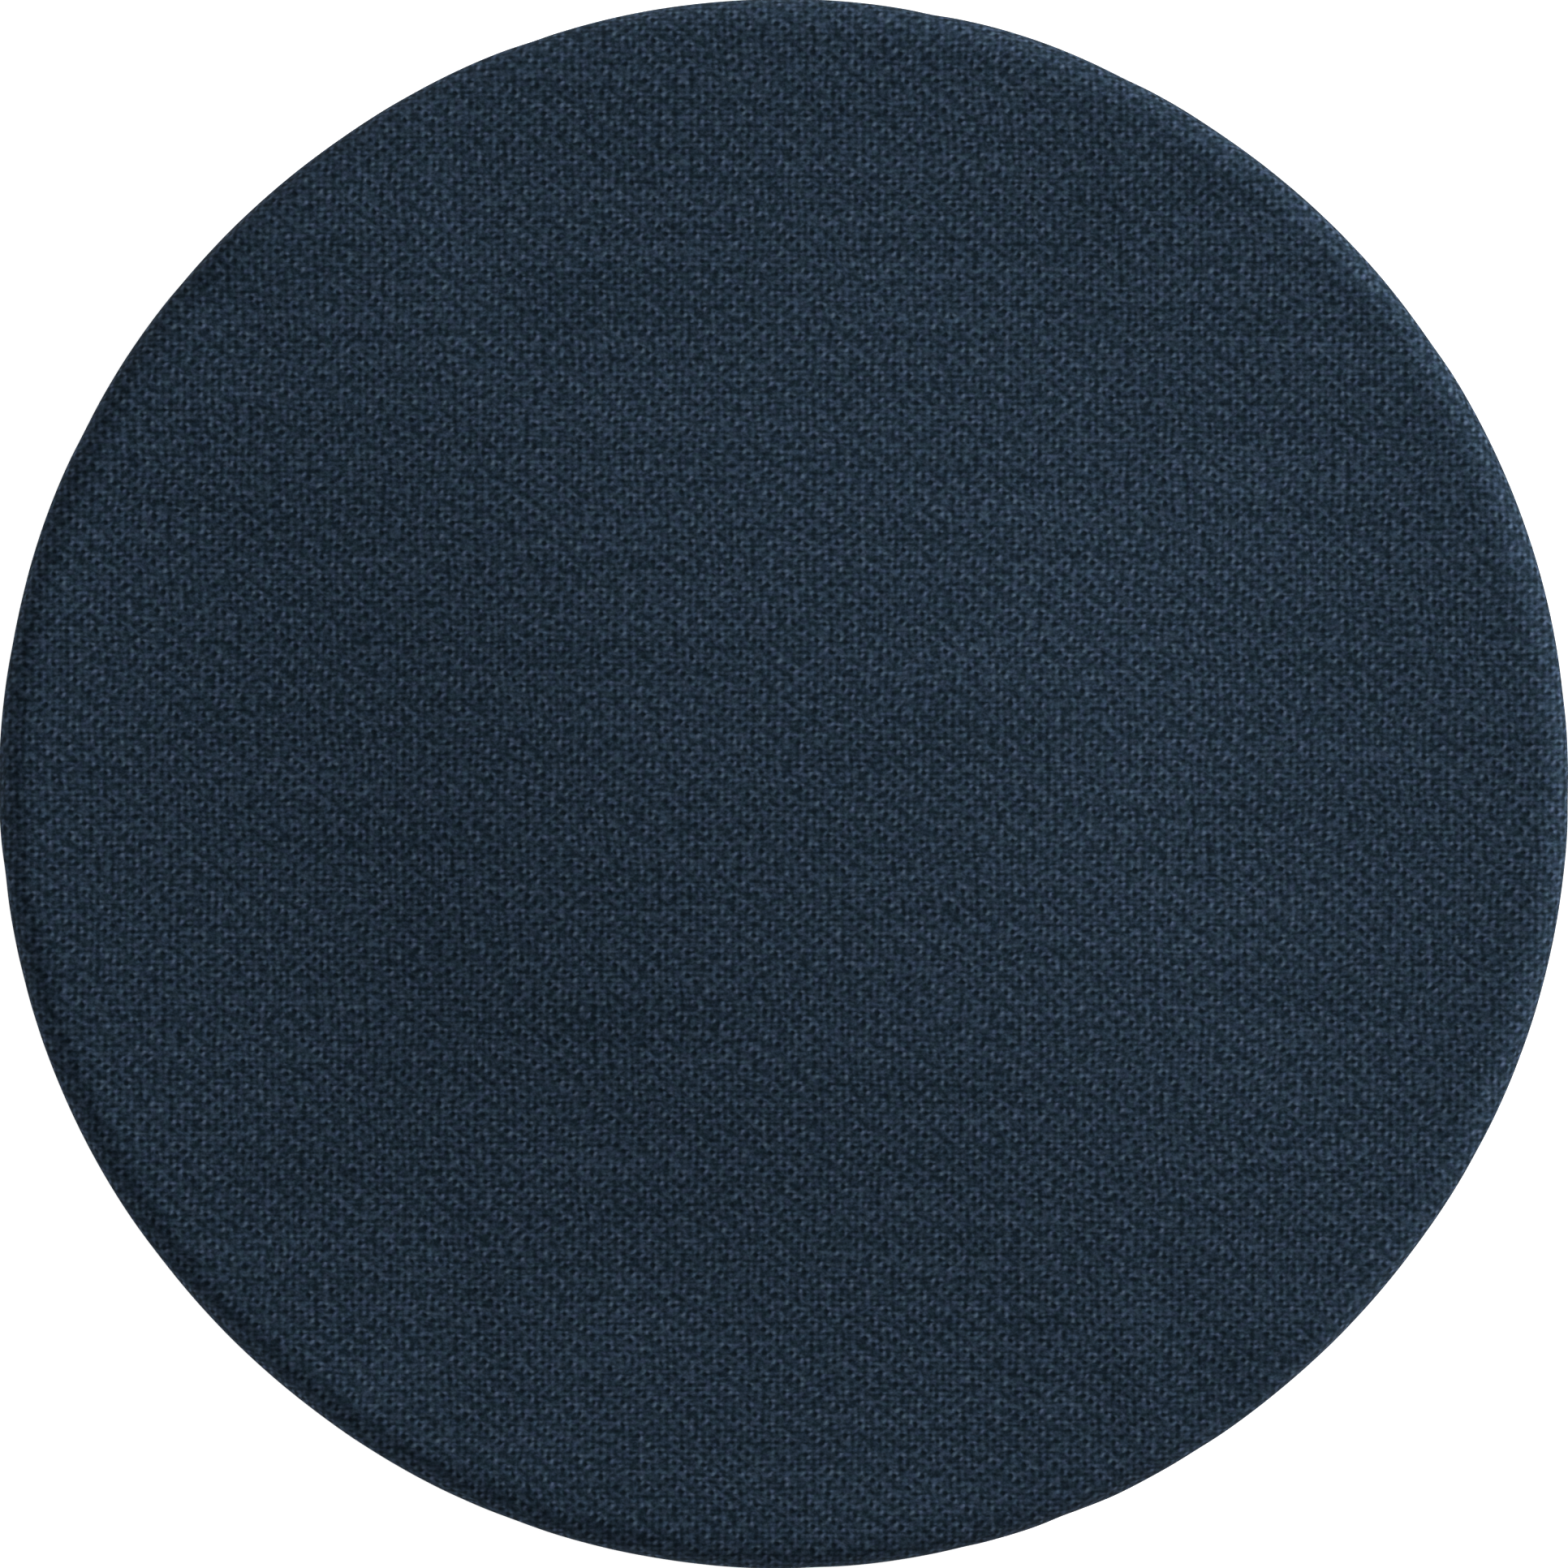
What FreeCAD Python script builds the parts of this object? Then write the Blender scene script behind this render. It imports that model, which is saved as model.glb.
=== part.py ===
import FreeCAD, Part
import math
import os

# A round upholstered seat cushion. Foam and fibre wadding sit in a sewn liner, inside a removable
# woven cover with piped edges. The cover opens with a zip round the back half of its side band.
# Millimetres, +Z up. The origin is the centre of the underside, on the plane that the cushion rests
# on. The front is -Y and the middle of the zip is +Y.

Vector = FreeCAD.Vector
UP = Vector(0, 0, 1)
CENTRE = Vector(0, 0, 0)

# Overall sizes
diameter = 340.0              # across the widest part of the stuffed top
band_height = 27.7            # lower piping seam to upper piping seam
seam_to_widest = 10.0         # upper seam up to the widest part of the shoulder
shoulder_radius = 7.0         # rounding of the top edge
crown_rise = 12.0             # how far the middle of the top stands above its rim

# Cover fabric and seams
fabric = 1.2                  # thickness of the woven cover
fabric_gap = 0.05             # between the fabric and the piping it wraps
seam_allowance = 7.9          # piping centre in to the cut edge of a seam
under_radius = 7.0            # rounding below the widest part
under_sweep = 70.0            # how far that rounding turns in, degrees
thread_radius = 0.25
thread_gap = 0.02             # thread clear of the cloth that it lies on
cut_clear = 1.0               # a cutting shape reaches this far past what it cuts

# Piping
piping_radius = 2.4
piping_wall = 0.7
piping_setback = 7.1          # piping centre in from the widest part
flange = 1.2                  # two layers of piping fabric, sewn into the seam
cord_gap = 0.05

# Side band
band_setback = 6.7            # outer face of the band in from the widest part
band_wrap_angle = 115.0       # where the band leaves the piping it passes over, degrees
cover_wrap_angle = 110.0      # where the top panel leaves the piping

# Base
dot_height = 1.2
dot_radius = 5.0
dot_pitch = 34.0
dot_rings = 4
base_fold_gap = 0.1           # between the base panel and its own turned-in edge

# Zip
tooth_pitch = 3.2
chain_reach = 77.7            # the rows of teeth reach this far each side of the back, degrees
zip_opening = 4.9             # middle of the zip to each folded hem
hem_clear = 0.3               # the hem ends this far before the band bends in to the piping
tape = 0.7
tape_width = 8.5
tape_edge = 1.6               # middle of the zip to the edge of each tape
strip_half_angle = 85.0       # the zip strips reach this far each side of the back, degrees
tape_half_angle = 84.0
tab_half_angle = 3.0
tab_half_height = 9.0
tooth_depth = 2.6             # through the thickness of the band
tooth_reach = 3.2             # middle of the zip to the back of a tooth
tooth_head = 1.3              # how far a tooth passes the middle
tooth_neck = 0.5
tooth_nose = 0.65
tooth_gap = 0.1               # between a tooth's nose and its neighbour on the other tape
stitch_from_hem = 2.2
stop_length = 4.8
grip_half_angle = 5.0         # stretch of tape that a moulded piece is fitted round, degrees

# Slider and pull tab
slider_gap = 0.35             # between the slider and the chain
slider_plate = 1.0
slider_half_width = 4.3
slider_half_length = 5.5
slider_corner = 1.4
side_lip = 0.75
diamond_half_width = 1.2
diamond_end_half_width = 0.9
diamond_start = 1.6           # the divider's tip, along the zip from the slider's middle
diamond_end = 5.2
bail_half_length = 3.3
bail_height = 3.05
bail_thickness = 1.0
bail_half_width = 1.0
puller_thickness = 1.2
puller_lift = 0.35            # pull tab above the slider plate
puller_eye = 4.6
puller_eye_half_width = 1.35
puller_neck_half_width = 2.7
puller_half_width = 3.4
puller_length = 23.0

# Filling
filling_gap = 0.6             # liner to the seams' cut edges
cover_gap = 0.3               # liner to the cover above and below it
liner = 0.5
layer_gap = 0.1               # between the layers of the filling
fibre_side = 4.7              # wadding round the foam's side
fibre_top = 8.0               # wadding over the middle of the foam
foam_edge_drop = 9.0          # cushion's rim down to the edge of the domed foam
support_foam_height = 24.7

# Care label
label_thickness = 0.3
label_width_angle = 6.0
label_length = 16.0
label_angle = 186.0

# Levels and radii that follow from the sizes above
widest_r = diameter / 2
base_z = dot_height
lower_seam_z = base_z + 2 * fabric + base_fold_gap + flange / 2
upper_seam_z = lower_seam_z + band_height
widest_z = upper_seam_z + seam_to_widest
rim_z = widest_z + shoulder_radius
rim_r = widest_r - shoulder_radius
crown_z = rim_z + crown_rise
piping_r = widest_r - piping_setback
cut_edge_r = piping_r - seam_allowance
band_r = widest_r - band_setback
zip_z = (lower_seam_z + upper_seam_z) / 2
tape_outer_r = band_r - 2 * fabric
tape_inner_r = tape_outer_r - tape
chain_r = (tape_outer_r + tape_inner_r) / 2
tooth_outer_r = chain_r + tooth_depth / 2
tooth_inner_r = chain_r - tooth_depth / 2
tooth_half_width = tooth_pitch / 2 - tooth_gap - tooth_nose
pitch_angle = math.degrees(tooth_pitch / chain_r)
tooth_count = round(2 * chain_reach / pitch_angle)
chain_half_angle = tooth_count * pitch_angle / 2
filling_r = cut_edge_r - filling_gap
waist_z = upper_seam_z + flange / 2 + fabric + filling_gap
liner_base_z = base_z + fabric + cover_gap
foam_base_z = liner_base_z + liner + layer_gap
foam_r = filling_r - liner - layer_gap - fibre_side
BACK = 90.0
HALF_TURN = 180.0


def save(name, shape):
    shape.exportStep("parts/" + name + ".step")


def on_circle(centre, radius, degrees):
    angle = math.radians(degrees)
    return (centre[0] + radius * math.cos(angle), centre[1] + radius * math.sin(angle))


def flipped(point):
    """The same point of the band's section, mirrored to the other seam."""
    return (point[0], 2 * zip_z - point[1])


def outline(start, steps):
    """Edges in the r-z plane. A step is an end point, or an arc's middle and end points."""
    edges = []
    here = Vector(start[0], 0, start[1])
    for step in steps:
        if isinstance(step[0], tuple):
            middle = Vector(step[0][0], 0, step[0][1])
            end = Vector(step[1][0], 0, step[1][1])
            edges.append(Part.Arc(here, middle, end).toShape())
        else:
            end = Vector(step[0], 0, step[1])
            edges.append(Part.makeLine(here, end))
        here = end
    return edges


def section(edges):
    """A closed face from edges that may leave one straight side open."""
    first = edges[0].firstVertex(True).Point
    last = edges[-1].lastVertex(True).Point
    if first.distanceToPoint(last) > 1e-6:
        edges = edges + [Part.makeLine(last, first)]
    return Part.Face(Part.Wire(edges))


def reversed_path(start, steps):
    """The same path, walked from its end back to its start."""
    points = [start]
    middles = []
    for step in steps:
        is_arc = isinstance(step[0], tuple)
        middles.append(step[0] if is_arc else None)
        points.append(step[1] if is_arc else step)
    back = []
    for index in range(len(steps) - 1, -1, -1):
        middle = middles[index]
        back.append((middle, points[index]) if middle else points[index])
    return points[-1], back


def turned(face, start_angle=0.0, sweep=360.0):
    """A section turned about the cushion's axis."""
    placed = face.copy()
    placed.rotate(CENTRE, UP, start_angle)
    solid = placed.revolve(CENTRE, UP, sweep)
    return solid


def sheet(line, inset, thickness, *tips):
    """The section of a layer of cloth: down its outer line, and back up its inner line."""
    start, steps = line(inset)
    inner_end, back = reversed_path(*line(inset + thickness))
    return section(outline(start, steps + list(tips) + [inner_end] + back))


def ring(inner_r, outer_r, low_z, high_z, start_angle=0.0, sweep=360.0):
    """A flat or upright ring of rectangular section."""
    corners = [(outer_r, low_z), (outer_r, high_z), (inner_r, high_z)]
    return turned(section(outline((inner_r, low_z), corners)), start_angle, sweep)


def thread_ring(ring_r, level, start_angle=0.0, sweep=360.0):
    """One line of thread round the cushion."""
    circle = Part.makeCircle(thread_radius, Vector(ring_r, 0, level), Vector(0, 1, 0))
    return turned(Part.Face(Part.Wire([circle])), start_angle, sweep)


def block(r_low, r_high, along_low, along_high, low_z, high_z):
    """A small box on the zip, made where the zip would cross the +X axis."""
    size = (r_high - r_low, along_high - along_low, high_z - low_z)
    return Part.makeBox(*size, Vector(r_low, along_low, low_z))


def at_angle(shape, degrees):
    placed = shape.copy()
    placed.rotate(CENTRE, UP, degrees)
    return placed


# ---- Cover: top panel, piping, side band, base ----

def crown_steps(inset):
    """The top from the middle to the shoulder: a dome that flattens again towards its rim."""
    half_r = rim_r / 2
    half_rise = crown_rise / 2
    dome_radius = (half_r ** 2 + half_rise ** 2) / (2 * half_rise)
    slope = math.degrees(math.asin(half_r / dome_radius))
    dome = (0, crown_z - dome_radius)
    dish = (rim_r, rim_z + dome_radius)
    dome_inner = dome_radius - inset
    dish_inner = dome_radius + inset
    return [
        (on_circle(dome, dome_inner, 90 - slope / 2), on_circle(dome, dome_inner, 90 - slope)),
        (on_circle(dish, dish_inner, 270 - slope / 2), on_circle(dish, dish_inner, 270)),
    ]


def shoulder_steps(inset):
    """Round the edge of the top and in underneath it."""
    shoulder = (rim_r, widest_z)
    under = (widest_r - under_radius, widest_z)
    over_r = shoulder_radius - inset
    under_r = under_radius - inset
    return [
        (on_circle(shoulder, over_r, 45), on_circle(shoulder, over_r, 0)),
        (on_circle(under, under_r, -under_sweep / 2), on_circle(under, under_r, -under_sweep)),
    ]


def top_panel_line(inset):
    """The top panel from its middle to its cut edge in the upper seam."""
    piping = (piping_r, upper_seam_z)
    wrap = piping_radius + fabric_gap + inset
    lift = flange / 2 + inset
    leave = HALF_TURN - math.degrees(math.asin(lift / wrap))
    middle = (cover_wrap_angle + leave) / 2
    steps = crown_steps(inset) + shoulder_steps(inset)
    steps.append(on_circle(piping, wrap, cover_wrap_angle))
    steps.append((on_circle(piping, wrap, middle), on_circle(piping, wrap, leave)))
    steps.append((cut_edge_r, upper_seam_z + lift))
    return (0, crown_z - inset), steps


def band_lower_line(inset):
    """The band from its cut edge in the lower seam, over the piping, up to where it stands upright."""
    piping = (piping_r, lower_seam_z)
    wrap = piping_radius + fabric_gap + inset
    lift = flange / 2 + inset
    leave = HALF_TURN - math.degrees(math.asin(lift / wrap))
    cosine = math.cos(math.radians(band_wrap_angle))
    face_wrap = piping_radius + fabric_gap
    bend = (band_r - piping_r - face_wrap * cosine) / (1 + cosine)
    bend_centre = on_circle(piping, face_wrap + bend, band_wrap_angle)
    start_of_bend = band_wrap_angle - HALF_TURN
    steps = [
        on_circle(piping, wrap, leave),
        (on_circle(piping, wrap, (leave + band_wrap_angle) / 2), on_circle(piping, wrap, band_wrap_angle)),
        (on_circle(bend_centre, bend - inset, start_of_bend / 2), on_circle(bend_centre, bend - inset, 0)),
    ]
    return (cut_edge_r, lower_seam_z + lift), steps


def band_line(inset):
    """The whole band, from the lower seam to the upper seam."""
    start, steps = band_lower_line(inset)
    end, back = reversed_path(start, steps)
    mirrored = [flipped(end)]
    for step in back:
        is_arc = isinstance(step[0], tuple)
        mirrored.append((flipped(step[0]), flipped(step[1])) if is_arc else flipped(step))
    return start, steps + mirrored


def piping_face(level):
    """The piping's fabric: a tube round the cord, with both edges laid together as a flange."""
    reach = math.sqrt(piping_radius ** 2 - (flange / 2) ** 2)
    low = (piping_r - reach, level - flange / 2)
    high = (piping_r - reach, level + flange / 2)
    outer = outline((cut_edge_r, level - flange / 2), [
        low,
        ((piping_r + piping_radius, level), high),
        (cut_edge_r, level + flange / 2),
        (cut_edge_r, level - flange / 2),
    ])
    bore = Part.makeCircle(piping_radius - piping_wall, Vector(piping_r, 0, level), Vector(0, 1, 0))
    face = Part.Face(Part.Wire(outer))
    return face.cut(Part.Face(Part.Wire([bore]))).Faces[0]


def piping_cord(level):
    radius = piping_radius - piping_wall - cord_gap
    circle = Part.makeCircle(radius, Vector(piping_r, 0, level), Vector(0, 1, 0))
    return turned(Part.Face(Part.Wire([circle])))


def base_face():
    """The base panel, with its edge folded back in above itself to join the lower seam."""
    fold = fabric + base_fold_gap / 2
    fold_z = base_z + fold
    edge_z = lower_seam_z - flange / 2
    reach = piping_radius + fabric_gap + fold
    fold_r = piping_r - math.sqrt(reach ** 2 - (lower_seam_z - fold_z) ** 2)
    return section(outline((0, base_z), [
        (fold_r, base_z),
        ((fold_r + fold, fold_z), (fold_r, edge_z)),
        (cut_edge_r, edge_z),
        (cut_edge_r, edge_z - fabric),
        (fold_r, edge_z - fabric),
        (fold_r, base_z + fabric),
        (0, base_z + fabric),
    ]))


def grip_dots():
    """Silicone dots printed on the base panel, in rings of six, twelve, eighteen and so on."""
    spots = [(0.0, 0.0)]
    for ring_number in range(1, dot_rings + 1):
        count = 6 * ring_number
        for index in range(count):
            spots.append(on_circle((0, 0), ring_number * dot_pitch, index * 360 / count))
    return Part.makeCompound([Part.makeCylinder(dot_radius, dot_height, Vector(x, y, 0)) for x, y in spots])


# ---- Zip: strips, tapes, teeth, stops, tabs ----

def zip_strip_face():
    """The strip below the zip: the lower half of the band, with its top edge folded in as a hem."""
    start, outer_steps = band_lower_line(0)
    inner_end, back = reversed_path(*band_lower_line(fabric))
    hem_z = zip_z - zip_opening
    fold = (band_r - fabric, hem_z - fabric)
    straight_z = outer_steps[-1][1][1]
    hem = [
        on_circle(fold, fabric, 0),
        (on_circle(fold, fabric, 90), on_circle(fold, fabric, HALF_TURN)),
        (band_r - 2 * fabric, straight_z + hem_clear),
        (band_r - fabric, straight_z + hem_clear),
    ]
    return section(outline(start, outer_steps + hem + [inner_end] + back))


def above_zip(shape):
    """The matching piece on the other side of the zip."""
    return shape.mirror(Vector(0, 0, zip_z), UP)


def lower_tape(start_angle=BACK - tape_half_angle, sweep=2 * tape_half_angle):
    return ring(tape_inner_r, tape_outer_r, zip_z - tape_edge - tape_width, zip_z - tape_edge,
                start_angle, sweep)


def gripping(shape):
    """A piece moulded round the edge of each tape: the tapes are taken out of it."""
    near = lower_tape(-grip_half_angle, 2 * grip_half_angle)
    return shape.cut(near).cut(above_zip(near))


def lower_tooth():
    """One moulded tooth: a block round the tape's edge, a neck and a rounded nose."""
    side = [
        (tooth_half_width, -tooth_reach),
        (tooth_half_width, -tooth_head),
        (tooth_neck, -tooth_neck),
        (tooth_nose, tooth_neck),
        (tooth_neck, tooth_head),
    ]
    corners = side + [(-along, height) for along, height in reversed(side)]
    points = [Vector(tooth_inner_r, along, zip_z + height) for along, height in corners]
    face = Part.Face(Part.makePolygon(points + [points[0]]))
    return gripping(face.extrude(Vector(tooth_depth, 0, 0)))


def tooth_row(tooth, first_angle):
    return Part.makeCompound([at_angle(tooth, first_angle + n * pitch_angle) for n in range(tooth_count)])


def stops():
    """Two top stops past the slider, and the bottom stop that joins the tapes at the other end."""
    closed_angle = BACK + chain_half_angle
    near = slider_half_length + slider_gap
    top = block(tooth_inner_r, tooth_outer_r, near, near + stop_length / 2,
                zip_z - tooth_reach, zip_z - tape_edge + thread_gap)
    lower_top = gripping(top)
    top_stops = Part.makeCompound([lower_top, above_zip(lower_top)])
    bottom = block(tooth_inner_r, tooth_outer_r, -stop_length / 2, stop_length / 2,
                   zip_z - tooth_reach, zip_z + tooth_reach)
    open_angle = BACK - chain_half_angle - pitch_angle / 2 - math.degrees(stop_length / 2 / chain_r)
    return at_angle(top_stops, closed_angle), at_angle(gripping(bottom), open_angle)


# ---- Slider and pull tab ----

def slider():
    """A cast slider: two plates joined by the divider, lips round the chain, and the bail."""
    outer_face = tooth_outer_r + slider_gap
    inner_face = tooth_inner_r - slider_gap
    length = slider_half_length
    width = slider_half_width
    pieces = []
    for low, high in ((outer_face, outer_face + slider_plate), (inner_face - slider_plate, inner_face)):
        plate = block(low, high, -length, length, zip_z - width, zip_z + width)
        corners = [edge for edge in plate.Edges if abs(edge.tangentAt(edge.FirstParameter).x) > 0.9]
        pieces.append(plate.makeFillet(slider_corner, corners))
    lips = ((tape_outer_r + slider_gap, outer_face), (inner_face, tape_inner_r - slider_gap))
    lip_end = length - slider_corner
    for low, high in lips:
        for side in (-1, 1):
            near = zip_z + side * (width - side_lip)
            far = zip_z + side * width
            pieces.append(block(low, high, -lip_end, diamond_start, min(near, far), max(near, far)))
    pieces.append(divider(inner_face, outer_face))
    pieces.append(bail(outer_face + slider_plate))
    body = pieces[0].multiFuse(pieces[1:])
    return body.removeSplitter()


def divider(inner_face, outer_face):
    """The wedge between the plates that spreads and closes the two rows."""
    widest = (diamond_start + diamond_end) / 2
    side = [(widest, diamond_half_width), (diamond_end, diamond_end_half_width)]
    corners = [(diamond_start, 0)] + side + [(along, -height) for along, height in reversed(side)]
    points = [Vector(inner_face, along, zip_z + height) for along, height in corners]
    face = Part.Face(Part.makePolygon(points + [points[0]]))
    return face.extrude(Vector(outer_face - inner_face, 0, 0))


def bail(plate_face):
    """The arch on the outer plate that holds the pull tab."""
    low_z = zip_z - bail_half_width
    inner_half = bail_half_length - bail_thickness
    foot_in = Vector(plate_face, -inner_half, low_z)
    foot_out = Vector(plate_face, -bail_half_length, low_z)
    end_in = Vector(plate_face, inner_half, low_z)
    end_out = Vector(plate_face, bail_half_length, low_z)
    crest_in = Vector(plate_face + bail_height - bail_thickness, 0, low_z)
    crest_out = Vector(plate_face + bail_height, 0, low_z)
    face = Part.Face(Part.Wire([
        Part.makeLine(foot_in, foot_out),
        Part.Arc(foot_out, crest_out, end_out).toShape(),
        Part.makeLine(end_out, end_in),
        Part.Arc(end_in, crest_in, foot_in).toShape(),
    ]))
    return face.extrude(Vector(0, 0, 2 * bail_half_width))


def puller():
    """The flat pull tab, lying back along the closed chain, with its eye round the bail."""
    face_r = tooth_outer_r + slider_gap + slider_plate + puller_lift
    bar = puller_thickness / 2
    end = -puller_length
    tip = end + puller_half_width

    def point(along, height):
        return Vector(face_r, along, zip_z + height)

    neck = puller_neck_half_width
    wide = puller_half_width
    edges = [
        Part.makeLine(point(bar, -neck), point(bar, neck)),
        Part.makeLine(point(bar, neck), point(-puller_eye, neck)),
        Part.makeLine(point(-puller_eye, neck), point(tip, wide)),
        Part.Arc(point(tip, wide), point(end, 0), point(tip, -wide)).toShape(),
        Part.makeLine(point(tip, -wide), point(-puller_eye, -neck)),
        Part.makeLine(point(-puller_eye, -neck), point(bar, -neck)),
    ]
    tab = Part.Face(Part.Wire(edges)).extrude(Vector(puller_thickness, 0, 0))
    eye = block(face_r - cut_clear, face_r + puller_thickness + cut_clear, -puller_eye, -bar,
                zip_z - puller_eye_half_width, zip_z + puller_eye_half_width)
    return tab.cut(eye)


# ---- Filling ----

def filling_line(inset):
    """The outside of the filling, this far inside the cover: crown, shoulder, waist and side."""
    past_liner = inset - fabric - cover_gap
    steps = crown_steps(inset) + shoulder_steps(inset)
    steps.append((filling_r - past_liner, waist_z + past_liner))
    steps.append((filling_r - past_liner, liner_base_z + liner))
    return (0, crown_z - inset), steps


def foam_edge_z():
    return rim_z - foam_edge_drop


def foam_top_z():
    return crown_z - fabric - cover_gap - liner - layer_gap - fibre_top


def dome_face(base, radius, grow):
    """A foam block with a flat base and a gently domed top, enlarged by the given gap."""
    edge_r = radius + grow
    edge_z = foam_edge_z() + grow
    top_z = foam_top_z() + grow
    rise = top_z - edge_z
    dome_radius = (edge_r ** 2 + rise ** 2) / (2 * rise)
    tilt = math.degrees(math.asin(edge_r / dome_radius))
    middle = on_circle((0, top_z - dome_radius), dome_radius, 90 - tilt / 2)
    return section(outline((0, base), [(edge_r, base), (edge_r, edge_z), (middle, (0, top_z))]))


def fibre_wrap():
    """Wadding over the foam's top and round its side, open underneath."""
    outer = turned(filling_block(fabric + cover_gap + liner + layer_gap))
    return outer.cut(turned(dome_face(foam_base_z - cut_clear, foam_r, layer_gap)))


def filling_block(inset):
    start, steps = filling_line(inset)
    wall = steps[-2][0]
    steps[-1] = (wall, foam_base_z)
    return section(outline(start, steps + [(0, foam_base_z)]))


def build():
    os.makedirs("parts", exist_ok=True)
    strip_start = BACK - strip_half_angle
    strip_sweep = 2 * strip_half_angle

    save("top_cover_panel", turned(sheet(top_panel_line, 0, fabric)))
    save("base_panel", turned(base_face()))
    save("grip_dots", grip_dots())
    for seam, level in (("upper", upper_seam_z), ("lower", lower_seam_z)):
        save(seam + "_piping_cover", turned(piping_face(level)))
        save(seam + "_piping_cord", piping_cord(level))
    save("front_side_band", turned(sheet(band_line, 0, fabric), BACK + strip_half_angle, 360 - strip_sweep))

    lower_strip = turned(zip_strip_face(), strip_start, strip_sweep)
    save("zip_strip_lower", lower_strip)
    save("zip_strip_upper", above_zip(lower_strip))
    save("zip_tape_lower", lower_tape())
    save("zip_tape_upper", above_zip(lower_tape()))

    first_angle = BACK - chain_half_angle + pitch_angle / 4
    tooth = lower_tooth()
    save("zip_teeth_lower", tooth_row(tooth, first_angle))
    save("zip_teeth_upper", tooth_row(above_zip(tooth), first_angle + pitch_angle / 2))
    top_stops, bottom_stop = stops()
    save("zip_top_stops", top_stops)
    save("zip_bottom_stop", bottom_stop)

    closed_angle = BACK + chain_half_angle
    save("zip_slider", at_angle(slider(), closed_angle))
    save("zip_puller", at_angle(puller(), closed_angle))
    pivot_r = tooth_outer_r + slider_gap + slider_plate + puller_lift + puller_thickness / 2
    pivot = on_circle((0, 0), pivot_r, closed_angle)
    tail = math.degrees((slider_half_length + slider_gap) / chain_r)
    travel = closed_angle - tail - (BACK - chain_half_angle - pitch_angle / 2)
    print("pull tab pivot", pivot, zip_z)
    print("slider travel, degrees", travel)
    print("height", crown_z)

    for side, middle in (("left", BACK + strip_half_angle), ("right", BACK - strip_half_angle)):
        tab = ring(band_r, band_r + fabric, zip_z - tab_half_height, zip_z + tab_half_height,
                   middle - tab_half_angle, 2 * tab_half_angle)
        save("zip_end_tab_" + side, tab)
    stitch_r = band_r + thread_gap + thread_radius
    stitch_start = BACK - strip_half_angle + tab_half_angle + pitch_angle
    stitch_sweep = 2 * (BACK - stitch_start)
    lower_stitch = thread_ring(stitch_r, zip_z - zip_opening - stitch_from_hem, stitch_start, stitch_sweep)
    save("zip_stitching", Part.makeCompound([lower_stitch, above_zip(lower_stitch)]))

    seam_r = (cut_edge_r + piping_r - piping_radius) / 2
    on_cloth = flange / 2 + fabric + thread_gap + thread_radius
    save("upper_seam_thread", thread_ring(seam_r, upper_seam_z - on_cloth))
    save("lower_seam_thread", thread_ring(seam_r, lower_seam_z + on_cloth))
    label_top = upper_seam_z - flange / 2 - fabric
    save("care_label", ring(cut_edge_r + fabric, cut_edge_r + fabric + label_thickness,
                            label_top - label_length, label_top, label_angle, label_width_angle))

    liner_inset = fabric + cover_gap
    save("inner_liner_top", turned(sheet(filling_line, liner_inset, liner)))
    save("inner_liner_base", ring(0, filling_r, liner_base_z, liner_base_z + liner))
    save("fibre_wrap", fibre_wrap())
    joint_z = foam_base_z + support_foam_height
    save("support_foam", ring(0, foam_r, foam_base_z, joint_z))
    save("comfort_foam", turned(dome_face(joint_z, foam_r, 0)))


build()
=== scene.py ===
import math

import bmesh
import bpy
import numpy as np
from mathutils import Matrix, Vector, noise


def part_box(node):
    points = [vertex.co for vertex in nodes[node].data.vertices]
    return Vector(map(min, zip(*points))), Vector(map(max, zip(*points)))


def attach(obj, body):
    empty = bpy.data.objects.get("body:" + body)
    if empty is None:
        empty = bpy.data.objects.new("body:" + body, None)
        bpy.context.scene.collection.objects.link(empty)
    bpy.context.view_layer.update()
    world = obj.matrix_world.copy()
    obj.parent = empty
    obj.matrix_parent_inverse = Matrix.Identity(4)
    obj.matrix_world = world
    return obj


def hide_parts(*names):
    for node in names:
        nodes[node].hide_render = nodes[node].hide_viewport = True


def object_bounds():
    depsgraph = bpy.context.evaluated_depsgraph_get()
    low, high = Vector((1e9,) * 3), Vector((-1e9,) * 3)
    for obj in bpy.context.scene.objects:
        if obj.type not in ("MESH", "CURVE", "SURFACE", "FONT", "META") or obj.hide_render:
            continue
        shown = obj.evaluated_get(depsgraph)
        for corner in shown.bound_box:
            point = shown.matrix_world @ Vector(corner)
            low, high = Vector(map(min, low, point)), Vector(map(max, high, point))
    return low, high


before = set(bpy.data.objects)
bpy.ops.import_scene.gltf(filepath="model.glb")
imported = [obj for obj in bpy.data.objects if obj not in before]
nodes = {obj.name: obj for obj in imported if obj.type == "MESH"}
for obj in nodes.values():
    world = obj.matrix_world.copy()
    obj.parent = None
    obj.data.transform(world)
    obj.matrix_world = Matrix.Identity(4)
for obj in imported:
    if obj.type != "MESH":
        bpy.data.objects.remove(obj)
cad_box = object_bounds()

MM = 0.001


# ---- Studio: floor, world, lights, camera ----
# A plain white table with a low soft key from the upper right, a weak fill and a pale surround.
# The table glows a little, as a light table does, so that it stays white round the dark cloth.

def linear(hex_colour):
    """An sRGB hex colour as linear red, green, blue and alpha."""
    parts = [int(hex_colour[i:i + 2], 16) / 255 for i in (1, 3, 5)]
    return [p / 12.92 if p <= 0.04045 else ((p + 0.055) / 1.055) ** 2.4 for p in parts] + [1.0]


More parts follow.
